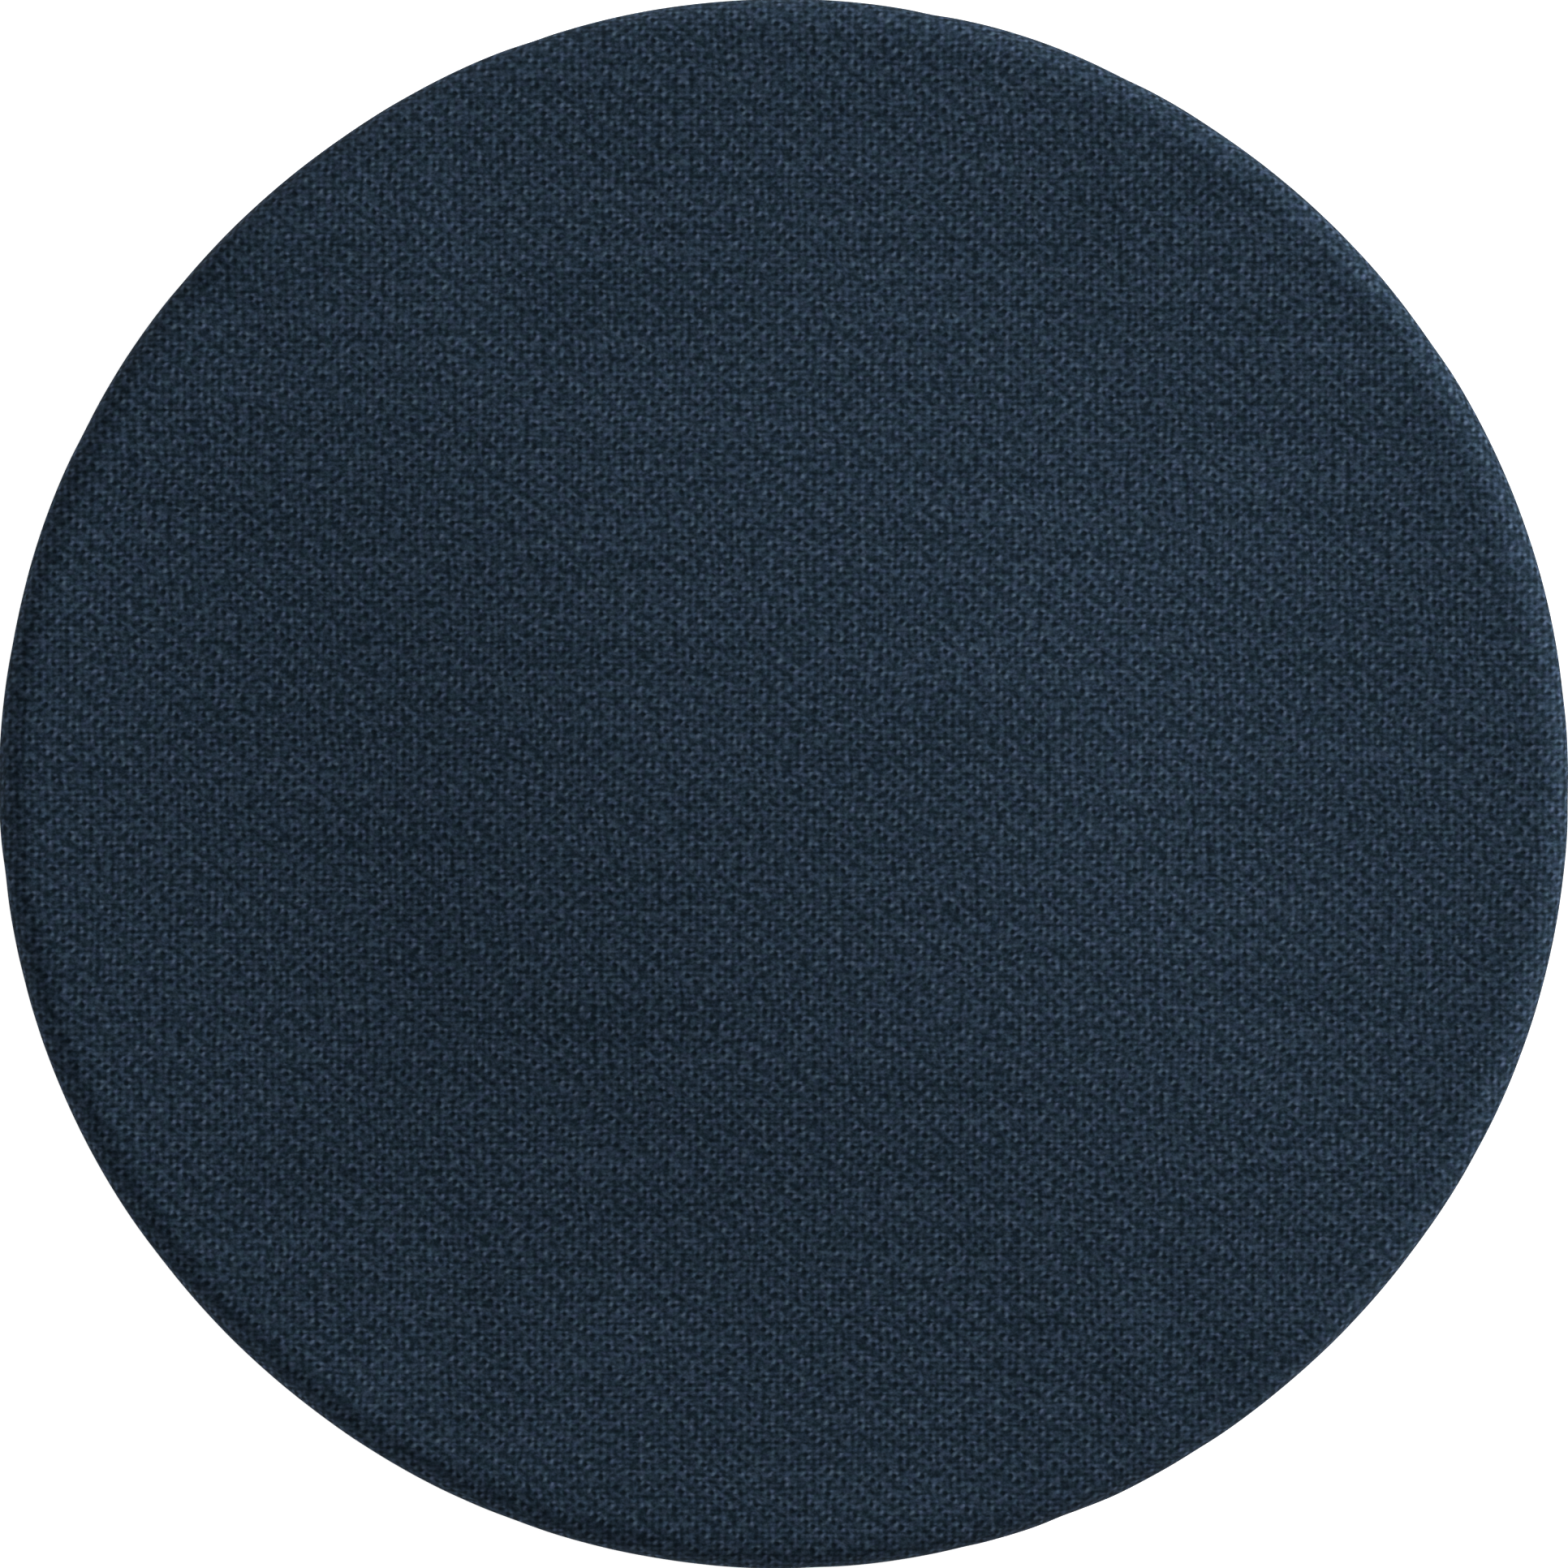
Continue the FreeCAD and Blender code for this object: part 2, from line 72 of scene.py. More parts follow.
def add(tree, kind, inputs=None, stops=None, **settings):
    """Adds a shader node: settings are its own, inputs are values, or nodes or sockets to link from."""
    node = tree.nodes.new("ShaderNode" + kind)
    for name, value in settings.items():
        setattr(node, name, value)
    for key, value in (inputs or {}).items():
        if isinstance(value, bpy.types.Node):
            value = value.outputs[0]
        if isinstance(value, bpy.types.NodeSocket):
            tree.links.new(value, node.inputs[key])
        else:
            node.inputs[key].default_value = value
    if stops:
        ramp = node.color_ramp
        while len(ramp.elements) < len(stops):
            ramp.elements.new(0.5)
        for element, (place, colour) in zip(ramp.elements, stops):
            element.position = place
            element.color = linear(colour)
    return node


def new_material(name):
    """An empty material and its node tree."""
    material = bpy.data.materials.new(name)
    material.use_nodes = True
    material.node_tree.nodes.clear()
    return material, material.node_tree


low_corner, high_corner = cad_box
widest = high_corner.x
crown_z = high_corner.z
crown_rise = 12 * MM
shoulder_radius = 7 * MM
rim_z = crown_z - crown_rise
widest_z = rim_z - shoulder_radius

floor_mesh = bpy.data.meshes.new("studio_floor")
floor_half = 6.0
floor_mesh.from_pydata([(-floor_half, -floor_half, 0), (floor_half, -floor_half, 0),
                        (floor_half, floor_half, 0), (-floor_half, floor_half, 0)], [], [(0, 1, 2, 3)])
floor = bpy.data.objects.new("studio_floor", floor_mesh)
bpy.context.scene.collection.objects.link(floor)
table_top, tree = new_material("matt_white_light_table")
lit_plate = add(tree, "BsdfPrincipled", {"Base Color": linear("#D8D8D8"), "Roughness": 0.9,
                                         "Emission Color": (1, 1, 1, 1), "Emission Strength": 0.80})
add(tree, "OutputMaterial", {"Surface": lit_plate})
floor_mesh.materials.append(table_top)

world = bpy.data.worlds.new("pale_studio")
world.use_nodes = True
tree = world.node_tree
tree.nodes.clear()
sky = add(tree, "Background", {"Color": (1.0, 1.0, 1.0, 1), "Strength": 0.30})
backdrop = add(tree, "Background", {"Color": (0.93, 0.94, 0.95, 1), "Strength": 1.0})
seen = add(tree, "LightPath").outputs["Is Camera Ray"]
mixed = add(tree, "MixShader", {0: seen, 1: sky, 2: backdrop})
add(tree, "OutputWorld", {"Surface": mixed})
bpy.context.scene.world = world


def soft_light(name, azimuth, elevation, distance, size, watts):
    """A square softbox aimed at the middle of the cushion. Azimuth is from +X towards +Y."""
    lamp = bpy.data.lights.new(name, "AREA")
    lamp.shape = "SQUARE"
    lamp.size = size
    lamp.energy = watts
    holder = bpy.data.objects.new(name, lamp)
    flat = math.cos(math.radians(elevation)) * distance
    holder.location = (flat * math.cos(math.radians(azimuth)), flat * math.sin(math.radians(azimuth)),
                       math.sin(math.radians(elevation)) * distance + crown_z)
    aim = Vector((0, 0, crown_z)) - holder.location
    holder.rotation_euler = aim.to_track_quat("-Z", "Y").to_euler()
    bpy.context.scene.collection.objects.link(holder)


soft_light("key_light", azimuth=30, elevation=22, distance=4.0, size=0.9, watts=250)
soft_light("fill_light", azimuth=200, elevation=45, distance=3.0, size=1.2, watts=16)

camera_distance = 3.0
lens = bpy.data.cameras.new("camera")
lens.sensor_width = 36.0
lens.lens = lens.sensor_width / 2 * (camera_distance - widest_z) / widest
camera = bpy.data.objects.new("camera", lens)
camera.location = (0, 0, camera_distance)
bpy.context.scene.collection.objects.link(camera)
bpy.context.scene.camera = camera
bpy.context.scene.view_settings.view_transform = "Standard"


# ---- Top cover panel ----
# The woven top panel, cut round and pulled over the stuffed shoulder into the upper piping seam.
# It is stuffed by a cloth simulation, which leaves the small gathers where it is sewn in.

fabric = 1.2 * MM
piping_radius = 2.4 * MM
piping_setback = 7.1 * MM
seam_allowance = 7.9 * MM
flange = 1.2 * MM
wrap_gap = 0.05 * MM
under_radius = 7 * MM
piping_r = widest - piping_setback
cut_edge_r = piping_r - seam_allowance
upper_seam_z = sum(corner.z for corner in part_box("upper_piping_cord")) / 2
lower_seam_z = sum(corner.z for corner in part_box("lower_piping_cord")) / 2
rim_r = widest - shoulder_radius


def arc_points(centre, radius, start, end, count, with_start=False):
    """Points along an arc in the r-z plane, angles in degrees, the first one left out or kept."""
    angles = np.radians(np.linspace(start, end, count + 1))
    angles = angles if with_start else angles[1:]
    return [(centre[0] + radius * math.cos(a), centre[1] + radius * math.sin(a)) for a in angles]


def top_profile():
    """The top panel's outer line from the middle of the crown to its cut edge in the seam."""
    half_r, half_rise = rim_r / 2, crown_rise / 2
    dome = (half_r ** 2 + half_rise ** 2) / (2 * half_rise)
    slope = math.degrees(math.asin(half_r / dome))
    wrap = piping_radius + wrap_gap
    leave = 180 - math.degrees(math.asin(flange / 2 / wrap))
    seam = (piping_r, upper_seam_z)
    line = [(0.0, crown_z)]
    line += arc_points((0, crown_z - dome), dome, 90, 90 - slope, 60)
    line += arc_points((rim_r, rim_z + dome), dome, 270 - slope, 270, 60)
    line += arc_points((rim_r, widest_z), shoulder_radius, 90, 0, 40)
    line += arc_points((widest - under_radius, widest_z), under_radius, 0, -70, 20)
    line += arc_points(seam, wrap, 110, leave, 12)
    sewn_from = len(line)
    line.append((cut_edge_r, upper_seam_z + flange / 2))
    return np.array(line), sewn_from


profile, sewn_from = top_profile()
steps = np.hypot(*np.diff(profile, axis=0).T)
cloth_length = np.concatenate([[0], np.cumsum(steps)])
fall = np.abs(np.diff(profile[:, 0])) / steps
least_stretch = 0.75
eased = np.concatenate([[0], np.cumsum(steps * np.maximum(fall, least_stretch))])
sewn_length = cloth_length[sewn_from - 1]
panel_cells = 104
crown_share = 0.60


def finer_at_rim(share, crown_length, whole_length):
    """Where a ring of the grid lies along the cloth: the rings stand closer past the crown."""
    return np.interp(share, [0, crown_share, 1], [0, crown_length, whole_length])


def round_grid(cells):
    """A square grid drawn out into a disc: for each point its share of the radius and its angle."""
    spots = []
    for row in range(cells + 1):
        for column in range(cells + 1):
            a = 2 * column / cells - 1
            b = 2 * row / cells - 1
            if abs(a) > abs(b):
                share, angle = a, math.pi / 4 * b / a
            elif b != 0:
                share, angle = b, math.pi / 2 - math.pi / 4 * a / b
            else:
                share, angle = 0.0, 0.0
            if share < 0:
                share, angle = -share, angle + math.pi
            spots.append((share, angle))
    faces = []
    for row in range(cells):
        for column in range(cells):
            first = row * (cells + 1) + column
            faces.append((first, first + 1, first + cells + 2, first + cells + 1))
    return np.array(spots), faces


def new_piece(name, points, faces):
    """A smooth-shaded mesh that rides on the cushion."""
    mesh = bpy.data.meshes.new(name)
    mesh.from_pydata([tuple(p) for p in points], [], faces)
    mesh.shade_smooth()
    piece = bpy.data.objects.new(name, mesh)
    bpy.context.scene.collection.objects.link(piece)
    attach(piece, "cushion")
    return piece


def lay_cloth(piece, flat_points):
    """Stores where each corner lies on the flat cloth, in metres."""
    layer = piece.data.uv_layers.new(name="cloth")
    for loop in piece.data.loops:
        layer.data[loop.index].uv = flat_points[loop.vertex_index]


def stuffed(points, faces, sewn, pressure=4.0, frames=20):
    """The points after the filling has pressed the cloth out, with the sewn ones held."""
    mesh = bpy.data.meshes.new("stuffing")
    mesh.from_pydata([tuple(p) for p in points], [], faces)
    trial = bpy.data.objects.new("stuffing", mesh)
    bpy.context.scene.collection.objects.link(trial)
    trial.vertex_groups.new(name="sewn").add([int(i) for i in sewn], 1.0, "REPLACE")
    cloth = trial.modifiers.new("cloth", "CLOTH")
    cloth.point_cache.frame_end = frames
    cloth.settings.quality = 6
    cloth.settings.mass = 0.35
    cloth.settings.tension_stiffness = 40
    cloth.settings.compression_stiffness = 40
    cloth.settings.bending_stiffness = 3
    cloth.settings.shrink_min = -0.02
    cloth.settings.use_pressure = True
    cloth.settings.uniform_pressure_force = pressure
    cloth.settings.vertex_group_mass = "sewn"
    cloth.settings.effector_weights.gravity = 0
    scene = bpy.context.scene
    for number in range(1, frames + 1):
        scene.frame_set(number)
    result = trial.evaluated_get(bpy.context.evaluated_depsgraph_get())
    moved = np.array([v.co[:] for v in result.data.vertices])
    bpy.data.objects.remove(trial)
    scene.frame_set(1)
    return moved


def gathers(points, spots, faces):
    """What the stuffing adds to the even shape: a lift square to the cloth, kept small on the crown
    and at the widest ring, and within the room that the filling leaves."""
    share, angle = spots.T
    swelling, dent, dent_width = 0.6 * MM, 0.35 * MM, 11 * MM
    start = points * (1 - swelling / widest)
    start[:, 2] += [dent * noise.noise(Vector(point) / dent_width) for point in points]
    sewn = np.nonzero(along >= sewn_length - 1e-9)[0]
    moved = stuffed(start, faces, sewn) - start
    face_r = -np.interp(along, cloth_length, np.gradient(profile[:, 1], cloth_length))
    face_z = np.interp(along, cloth_length, np.gradient(profile[:, 0], cloth_length))
    outward = np.column_stack([np.cos(angle) * face_r, np.sin(angle) * face_r, face_z])
    lift = (moved * outward).sum(1)
    rings = np.round(share * panel_cells / 2).astype(int)
    for ring in range(rings.max() + 1):
        here = rings == ring
        lift[here] -= lift[here].mean()
    widest_length = cloth_length[np.argmax(profile[:, 0])]
    zones = [0, rim_r - shoulder_radius, widest_length, sewn_length - 4 * MM, sewn_length]
    lift *= np.interp(along, zones, [0.3, 0.4, 0.25, 0.5, 0.0])
    deepest, highest = -0.15 * MM, 0.9 * MM
    return outward * np.clip(lift, deepest, highest)[:, None]


spots, panel_faces = round_grid(panel_cells)
along = finer_at_rim(spots[:, 0], rim_r - shoulder_radius, cloth_length[-1])
ring_r = np.interp(along, cloth_length, profile[:, 0])
ring_z = np.interp(along, cloth_length, profile[:, 1])
flat_r = np.interp(along, cloth_length, eased)
panel_points = np.column_stack([ring_r * np.cos(spots[:, 1]), ring_r * np.sin(spots[:, 1]), ring_z])
panel_points = panel_points + gathers(panel_points, spots, panel_faces)
top_cover = new_piece("top_cover", panel_points, panel_faces)
lay_cloth(top_cover, np.column_stack([flat_r * np.cos(spots[:, 1]), flat_r * np.sin(spots[:, 1])]))
thick = top_cover.modifiers.new("cloth_thickness", "SOLIDIFY")
thick.thickness = fabric
thick.offset = -1
round_off = top_cover.modifiers.new("smooth_cloth", "SUBSURF")
round_off.levels = round_off.render_levels = 1
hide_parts("top_cover_panel")


def woven_navy():
    """Navy polyester upholstery cloth, piece-woven from melange yarn in a four-thread broken twill.
    The eye gets slanted bright knots, smaller ties between them, and small dark pits at the corners;
    the knots' brightness is painted light and the pits' darkness painted shade, both from the relief the
    bump uses."""
    warp_pitch, weft_pitch = 1.58 * MM, 1.227 * MM
    bow, jitter = 1.6, 0.23
    material, tree = new_material("woven_navy_melange_twill")
    place = add(tree, "UVMap", uv_map="cloth")
    threads = add(tree, "VectorMath", {0: place, 1: (1 / warp_pitch, 1 / weft_pitch, 0)},
                  operation="MULTIPLY")
    # The threads lie in slow bends about 25 mm long.
    bend = add(tree, "TexNoise", {"Vector": threads, "Scale": 0.06, "Detail": 2.0}, noise_dimensions="2D")
    shift = add(tree, "VectorMath", {0: bend.outputs["Color"], 1: (0.5, 0.5, 0.5)},
                operation="SUBTRACT")
    threads = add(tree, "VectorMath", {0: shift, 1: (bow, bow, 0), 2: threads},
                  operation="MULTIPLY_ADD")

    def lattice(shift_by):
        """The crossing (or corner) that a point belongs to, the place in it, its chances and its kind."""
        moved = add(tree, "VectorMath", {0: threads, 1: (shift_by, shift_by, 0)}, operation="ADD")
        whole = add(tree, "VectorMath", {0: moved}, operation="FLOOR")
        inside = add(tree, "VectorMath", {0: moved}, operation="FRACTION")
        chance = add(tree, "TexWhiteNoise", {"Vector": whole}, noise_dimensions="2D")
        diagonal = add(tree, "VectorMath", {0: whole, 1: (1, 1, 0)}, operation="DOT_PRODUCT")
        kind = add(tree, "Math", {0: diagonal.outputs["Value"], 1: 4.0}, operation="FLOORED_MODULO")
        return inside, chance, kind

    def spot(where, kind_here, kind, width, height, slant, weight):
        """A soft oval at one kind of crossing or corner, turned by a slant."""
        cosine, sine = math.cos(math.radians(slant)), math.sin(math.radians(slant))
        first = add(tree, "VectorMath", {0: where, 1: (cosine / width, sine / width, 0)},
                    operation="DOT_PRODUCT")
        second = add(tree, "VectorMath", {0: where, 1: (-sine / height, cosine / height, 0)},
                     operation="DOT_PRODUCT")
        square = add(tree, "Math", {0: first.outputs["Value"], 1: 2.0}, operation="POWER")
        total = add(tree, "Math", {0: second.outputs["Value"], 1: second.outputs["Value"],
                                   2: square}, operation="MULTIPLY_ADD")
        falls = add(tree, "Math", {0: total, 1: -1.0}, operation="MULTIPLY")
        shape = add(tree, "Math", {0: falls}, operation="EXPONENT")
        wanted = add(tree, "Math", {0: kind_here, 1: float(kind), 2: 0.5}, operation="COMPARE")
        sized = add(tree, "Math", {0: shape, 1: weight}, operation="MULTIPLY")
        return add(tree, "Math", {0: sized, 1: wanted}, operation="MULTIPLY")

    inside, chance, crossing_kind = lattice(0.0)
    middle = 0.5 + jitter / 2
    centred = add(tree, "VectorMath", {0: inside, 1: (middle, middle, jitter / 2)},
                  operation="SUBTRACT")
    local = add(tree, "VectorMath", {0: chance.outputs["Color"], 1: (jitter, jitter, jitter),
                                     2: centred}, operation="MULTIPLY_ADD")
    yarn_light = add(tree, "MapRange", {"Value": chance.outputs["Value"], "To Min": 0.61,
                                        "To Max": 1.52})
    # The four kinds of crossing along the twill: long float, tie, short float and sunk tie.
    knots = [
        spot(local, crossing_kind, kind=0, width=0.44, height=0.24, slant=65, weight=0.44),
        spot(local, crossing_kind, kind=1, width=0.29, height=0.28, slant=0, weight=0.33),
        spot(local, crossing_kind, kind=2, width=0.32, height=0.22, slant=55, weight=0.15),
        spot(local, crossing_kind, kind=3, width=0.29, height=0.29, slant=0, weight=0.08),
    ]
    raised = knots[0]
    for knot in knots[1:]:
        raised = add(tree, "Math", {0: raised, 1: knot}, operation="ADD")
    raised = add(tree, "Math", {0: raised, 1: yarn_light, 2: 0.33}, operation="MULTIPLY_ADD")
    # The pits where four threads meet, deep on one diagonal and shallow on the next but one; the colour
    # ramp darkens them as painted shade.
    inside, corner_chance, corner_kind = lattice(0.5)
    from_corner = add(tree, "VectorMath", {0: inside, 1: (0.5, 0.5, 0)}, operation="SUBTRACT")
    pit_depth = add(tree, "MapRange", {"Value": corner_chance.outputs["Value"], "To Min": 0.64,
                                       "To Max": 1.36})
    deep = spot(from_corner, corner_kind, kind=1, width=0.25, height=0.31, slant=0, weight=-0.46)
    shallow = spot(from_corner, corner_kind, kind=3, width=0.26, height=0.26, slant=0, weight=-0.23)
    pits = add(tree, "Math", {0: deep, 1: shallow}, operation="ADD")
    weave = add(tree, "Math", {0: pits, 1: pit_depth, 2: raised}, operation="MULTIPLY_ADD")
    melange = add(tree, "TexNoise", {"Vector": threads, "Scale": 0.90, "Detail": 3.0,
                                     "Roughness": 0.6}, noise_dimensions="2D")
    blotch = add(tree, "MapRange", {"Value": melange, "From Min": 0.3, "From Max": 0.7,
                                    "To Min": -0.24, "To Max": 0.24})
    streak_place = add(tree, "VectorMath", {0: place, 1: (1 / (70 * MM), 1 / (4 * MM), 0)},
                       operation="MULTIPLY")
    streak = add(tree, "TexNoise", {"Vector": streak_place, "Scale": 1.0, "Detail": 1.0},
                 noise_dimensions="2D")
    bar = add(tree, "MapRange", {"Value": streak, "To Min": -0.08, "To Max": 0.08})
    relief = add(tree, "Math", {0: weave, 1: blotch}, operation="ADD")
    tone_and_painted_shade = add(tree, "Math", {0: relief, 1: bar}, operation="ADD")
    # The ramp paints the relief into the colour: lighter raised knots and darker pits are painted light and
    # shade; the melange, streaks and per-yarn tone are the yarn's own.
    shade = add(tree, "ValToRGB", {"Fac": tone_and_painted_shade}, stops=[
        (0.0, "#0B151D"), (0.22, "#15222C"), (0.42, "#24313F"), (0.66, "#344355"), (1.0, "#465769")])
    tint = add(tree, "Mix", {0: 0.05, 6: shade.outputs["Color"], 7: chance.outputs["Color"]},
               data_type="RGBA", blend_type="OVERLAY")
    bump = add(tree, "Bump", {"Strength": 0.55, "Distance": 0.22 * MM, "Height": relief})
    cloth = add(tree, "BsdfPrincipled", {
        "Base Color": tint.outputs[2], "Roughness": 0.92, "Specular IOR Level": 0.05,
        "Sheen Weight": 0.05, "Sheen Roughness": 0.5, "Sheen Tint": linear("#5F7C9C"), "Normal": bump})
    add(tree, "OutputMaterial", {"Surface": cloth})
    return material


navy_cloth = woven_navy()
top_cover.data.materials.append(navy_cloth)


# ---- Piping, upper and lower ----
# A cotton cord wrapped in a bias-cut strip of the cover's own cloth, one in each seam of the band.
# The strip's two edges lie together as a flange, which is sewn between the panels.

piping_wall = 0.7 * MM


def swept(name, outline, first=0.0, last=360.0, steps=720, wave=None, turn=0.0):
    """A closed outline of (r, z) points swept round the cushion's axis, with its place on the cloth.
    Angles are in degrees; wave moves the outline at each angle; turn is how the cloth's grain lies."""
    closed = last - first >= 360
    columns = steps if closed else steps + 1
    count = len(outline)
    points = []
    for column in range(columns):
        angle = math.radians(first + (last - first) * column / steps)
        line = wave(outline, angle) if wave else outline
        points += [(r * math.cos(angle), r * math.sin(angle), z) for r, z in line]
    sides = np.hypot(*(np.roll(outline, -1, axis=0) - outline).T)
    down = np.concatenate([[0], np.cumsum(sides)])
    column_width = math.radians(last - first) / steps * np.max(outline[:, 0])
    faces, flat = [], []
    for column in range(steps):
        near, far = column * count, (column + 1) % columns * count
        for k in range(count):
            after = (k + 1) % count
            faces.append((near + k, near + after, far + after, far + k))
            left, right = column * column_width, (column + 1) * column_width
            flat += [(left, down[k]), (left, down[k + 1]), (right, down[k + 1]), (right, down[k])]
    if not closed:
        faces.append(tuple(range(count)))
        faces.append(tuple(range(steps * count, (steps + 1) * count)))
        flat += [tuple(spot) for spot in outline] * 2
    piece = new_piece(name, points, faces)
    layer = piece.data.uv_layers.new(name="cloth")
    cosine, sine = math.cos(math.radians(turn)), math.sin(math.radians(turn))
    for loop, (u, v) in zip(layer.data, flat):
        loop.uv = (u * cosine - v * sine, u * sine + v * cosine)
    outward = bmesh.new()
    outward.from_mesh(piece.data)
    bmesh.ops.recalc_face_normals(outward, faces=outward.faces)
    outward.to_mesh(piece.data)
    outward.free()
    piece.data.set_sharp_from_angle(angle=math.radians(50))
    return piece


def piping_strip(level):
    """The strip's section: out along its lower layer, round the cord, and back along the upper."""
    bore = piping_radius - piping_wall
    slit = 0.05 * MM
    turn = math.degrees(math.asin(flange / 2 / piping_radius))
    bore_turn = math.degrees(math.asin(slit / 2 / bore))
    seam = (piping_r, level)
    line = [(cut_edge_r, level - flange / 2)]
    line += arc_points(seam, piping_radius, turn - 180, 180 - turn, 36, with_start=True)
    line += [(cut_edge_r, level + flange / 2), (cut_edge_r, level + slit / 2)]
    line += arc_points(seam, bore, 180 - bore_turn, bore_turn - 180, 24, with_start=True)
    line.append((cut_edge_r, level - slit / 2))
    return np.array(line)


def lumpy_cord(level):
    """Makes the round part swell and shrink a little, as a soft cord under a tight strip does."""
    lump, swelling = 13 * MM, 0.16 * MM

    def wave(outline, angle):
        out = outline - (piping_r, level)
        far = np.hypot(*out.T)
        spot = Vector((math.cos(angle), math.sin(angle), level)) * (piping_r / lump)
        grow = swelling * noise.noise(spot) * (far < 1.01 * piping_radius)
        return outline + out / far[:, None] * grow[:, None]
    return wave


for seam_name, level in (("upper", upper_seam_z), ("lower", lower_seam_z)):
    piping = swept(seam_name + "_piping", piping_strip(level), wave=lumpy_cord(level), turn=45)
    piping.data.materials.append(navy_cloth)
    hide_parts(seam_name + "_piping_cover")


# ---- Front side band ----
# One strip of cover cloth round the front half, from one end of the zip to the other.
# Each long edge is sewn over the piping; the filling bows it out and the stitches pucker it.

band_setback = 6.7 * MM
band_wrap_angle = 115
band_r = widest - band_setback
zip_z = (lower_seam_z + upper_seam_z) / 2
zip_middle = 90
strip_half_angle = 85


def band_half(inset):
    """The band's line from its cut edge in the lower seam, over the piping, to where it stands up."""
    seam = (piping_r, lower_seam_z)
    face_wrap = piping_radius + wrap_gap
    wrap = face_wrap + inset
    lift = flange / 2 + inset
    leave = 180 - math.degrees(math.asin(lift / wrap))
    cosine = math.cos(math.radians(band_wrap_angle))
    bend = (band_r - piping_r - face_wrap * cosine) / (1 + cosine)
    bend_centre = arc_points(seam, face_wrap + bend, band_wrap_angle, band_wrap_angle, 1)[0]
    line = [(cut_edge_r, lower_seam_z + lift)]
    line += arc_points(seam, wrap, leave, band_wrap_angle, 10, with_start=True)
    line += arc_points(bend_centre, bend - inset, band_wrap_angle - 180, 0, 8)
    return line


def mirrored(line):
    """The same line on the other side of the zip, in the opposite order."""
    return [(r, 2 * zip_z - z) for r, z in reversed(line)]


def upright(inset):
    """The band's straight middle, cut into short lengths so that it can bow."""
    low = band_half(inset)[-1]
    levels = np.linspace(low[1], 2 * zip_z - low[1], 20)[1:-1]
    return [(low[0], level) for level in levels]


def sewn_in(outline, angle, bow=0.55 * MM, slack=0.45 * MM, pucker=0.30 * MM):
    """Bows a band out between its two seams, with slow slack and small puckers at the stitches."""
    slack_width, pucker_width = 32 * MM, 5.5 * MM
    pucker_reach, stitch_reach = 5 * MM, 1.2 * MM
    level = outline[:, 1]
    lowest, highest = lower_seam_z + flange, upper_seam_z - flange
    from_seam = np.clip(np.minimum(level - lowest, highest - level), 0, None)
    middle = np.sin(np.clip((level - lowest) / (highest - lowest), 0, 1) * math.pi)
    out = bow * middle
    for index, height in enumerate(level):
        side = Vector((math.cos(angle), math.sin(angle), 0)) * band_r
        slow = noise.noise((side + Vector((0, 0, height * 1.6))) / slack_width)
        quick = noise.noise((side + Vector((0, 0, height * 0.35))) / pucker_width)
        near_seam = math.exp(-from_seam[index] / pucker_reach) - math.exp(-from_seam[index] / stitch_reach)
        out[index] += slack * slow * middle[index] + pucker * quick * near_seam * 1.6
    moved = outline.copy()
    moved[:, 0] += out
    return moved


outer = band_half(0) + upright(0) + mirrored(band_half(0))
inner = band_half(fabric) + upright(fabric) + mirrored(band_half(fabric))
front_band = swept("front_band", np.array(outer + inner[::-1]), zip_middle + strip_half_angle,
                   zip_middle + 360 - strip_half_angle, steps=400, wave=sewn_in)
front_band.data.materials.append(navy_cloth)
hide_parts("front_side_band")


# ---- Zip strips ----
# Two narrower strips of cover cloth round the back half, above and below the zip.
# Each has its free edge folded in as a hem and topstitched down onto the zip's tape.

zip_opening = 4.9 * MM
hem_clear = 0.3 * MM


def hemmed_strip():
    """The lower strip's section: over the piping, up to the hem, round its fold and down inside."""
    outer = band_half(0)
    straight_z = outer[-1][1]
    hem_z = zip_z - zip_opening
    fold = (band_r - fabric, hem_z - fabric)
    levels = np.linspace(straight_z, fold[1], 5)[1:-1]
    line = outer + [(band_r, level) for level in levels]
    line += arc_points(fold, fabric, 0, 180, 14, with_start=True)
    line += [(band_r - 2 * fabric, straight_z + hem_clear), (band_r - fabric, straight_z + hem_clear)]
    return line + band_half(fabric)[::-1]


def stitched_hem(outline, angle):
    """The hem's edge wanders a little, and lifts and dips along its topstitching."""
    wander_depth, wander_width = 0.22 * MM, 17 * MM
    lift_depth, lift_width = 0.16 * MM, 7 * MM
    loose_from = 8 * MM
    side = Vector((math.cos(angle), math.sin(angle), 0)) * band_r
    from_seam = zip_z - lower_seam_z - np.abs(outline[:, 1] - zip_z)
    share = np.clip((from_seam - flange) / loose_from, 0, 1)
    above = np.sign(outline[0, 1] - zip_z)
    wander = wander_depth * noise.noise(side / wander_width + Vector((0, 0, above)))
    lift = lift_depth * (1 + noise.noise(side / lift_width))
    return outline + np.column_stack([lift * share, wander * share])


strip_steps = 360
for side, section in (("lower", hemmed_strip()), ("upper", mirrored(hemmed_strip()))):
    strip = swept("zip_strip_cloth_" + side, np.array(section), zip_middle - strip_half_angle,
                  zip_middle + strip_half_angle, steps=strip_steps, wave=stitched_hem)
    strip.data.materials.append(navy_cloth)
    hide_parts("zip_strip_" + side)


# ---- Zip tapes ----
# Two woven polyester tapes, sewn flat behind the hems, with a corded edge that the teeth are
# moulded round. Each is a ready-made part of the zip.

tape = 0.7 * MM
tape_width = 8.5 * MM
tape_edge = 1.6 * MM
tape_half_angle = 84
tape_r = band_r - 2 * fabric - tape / 2


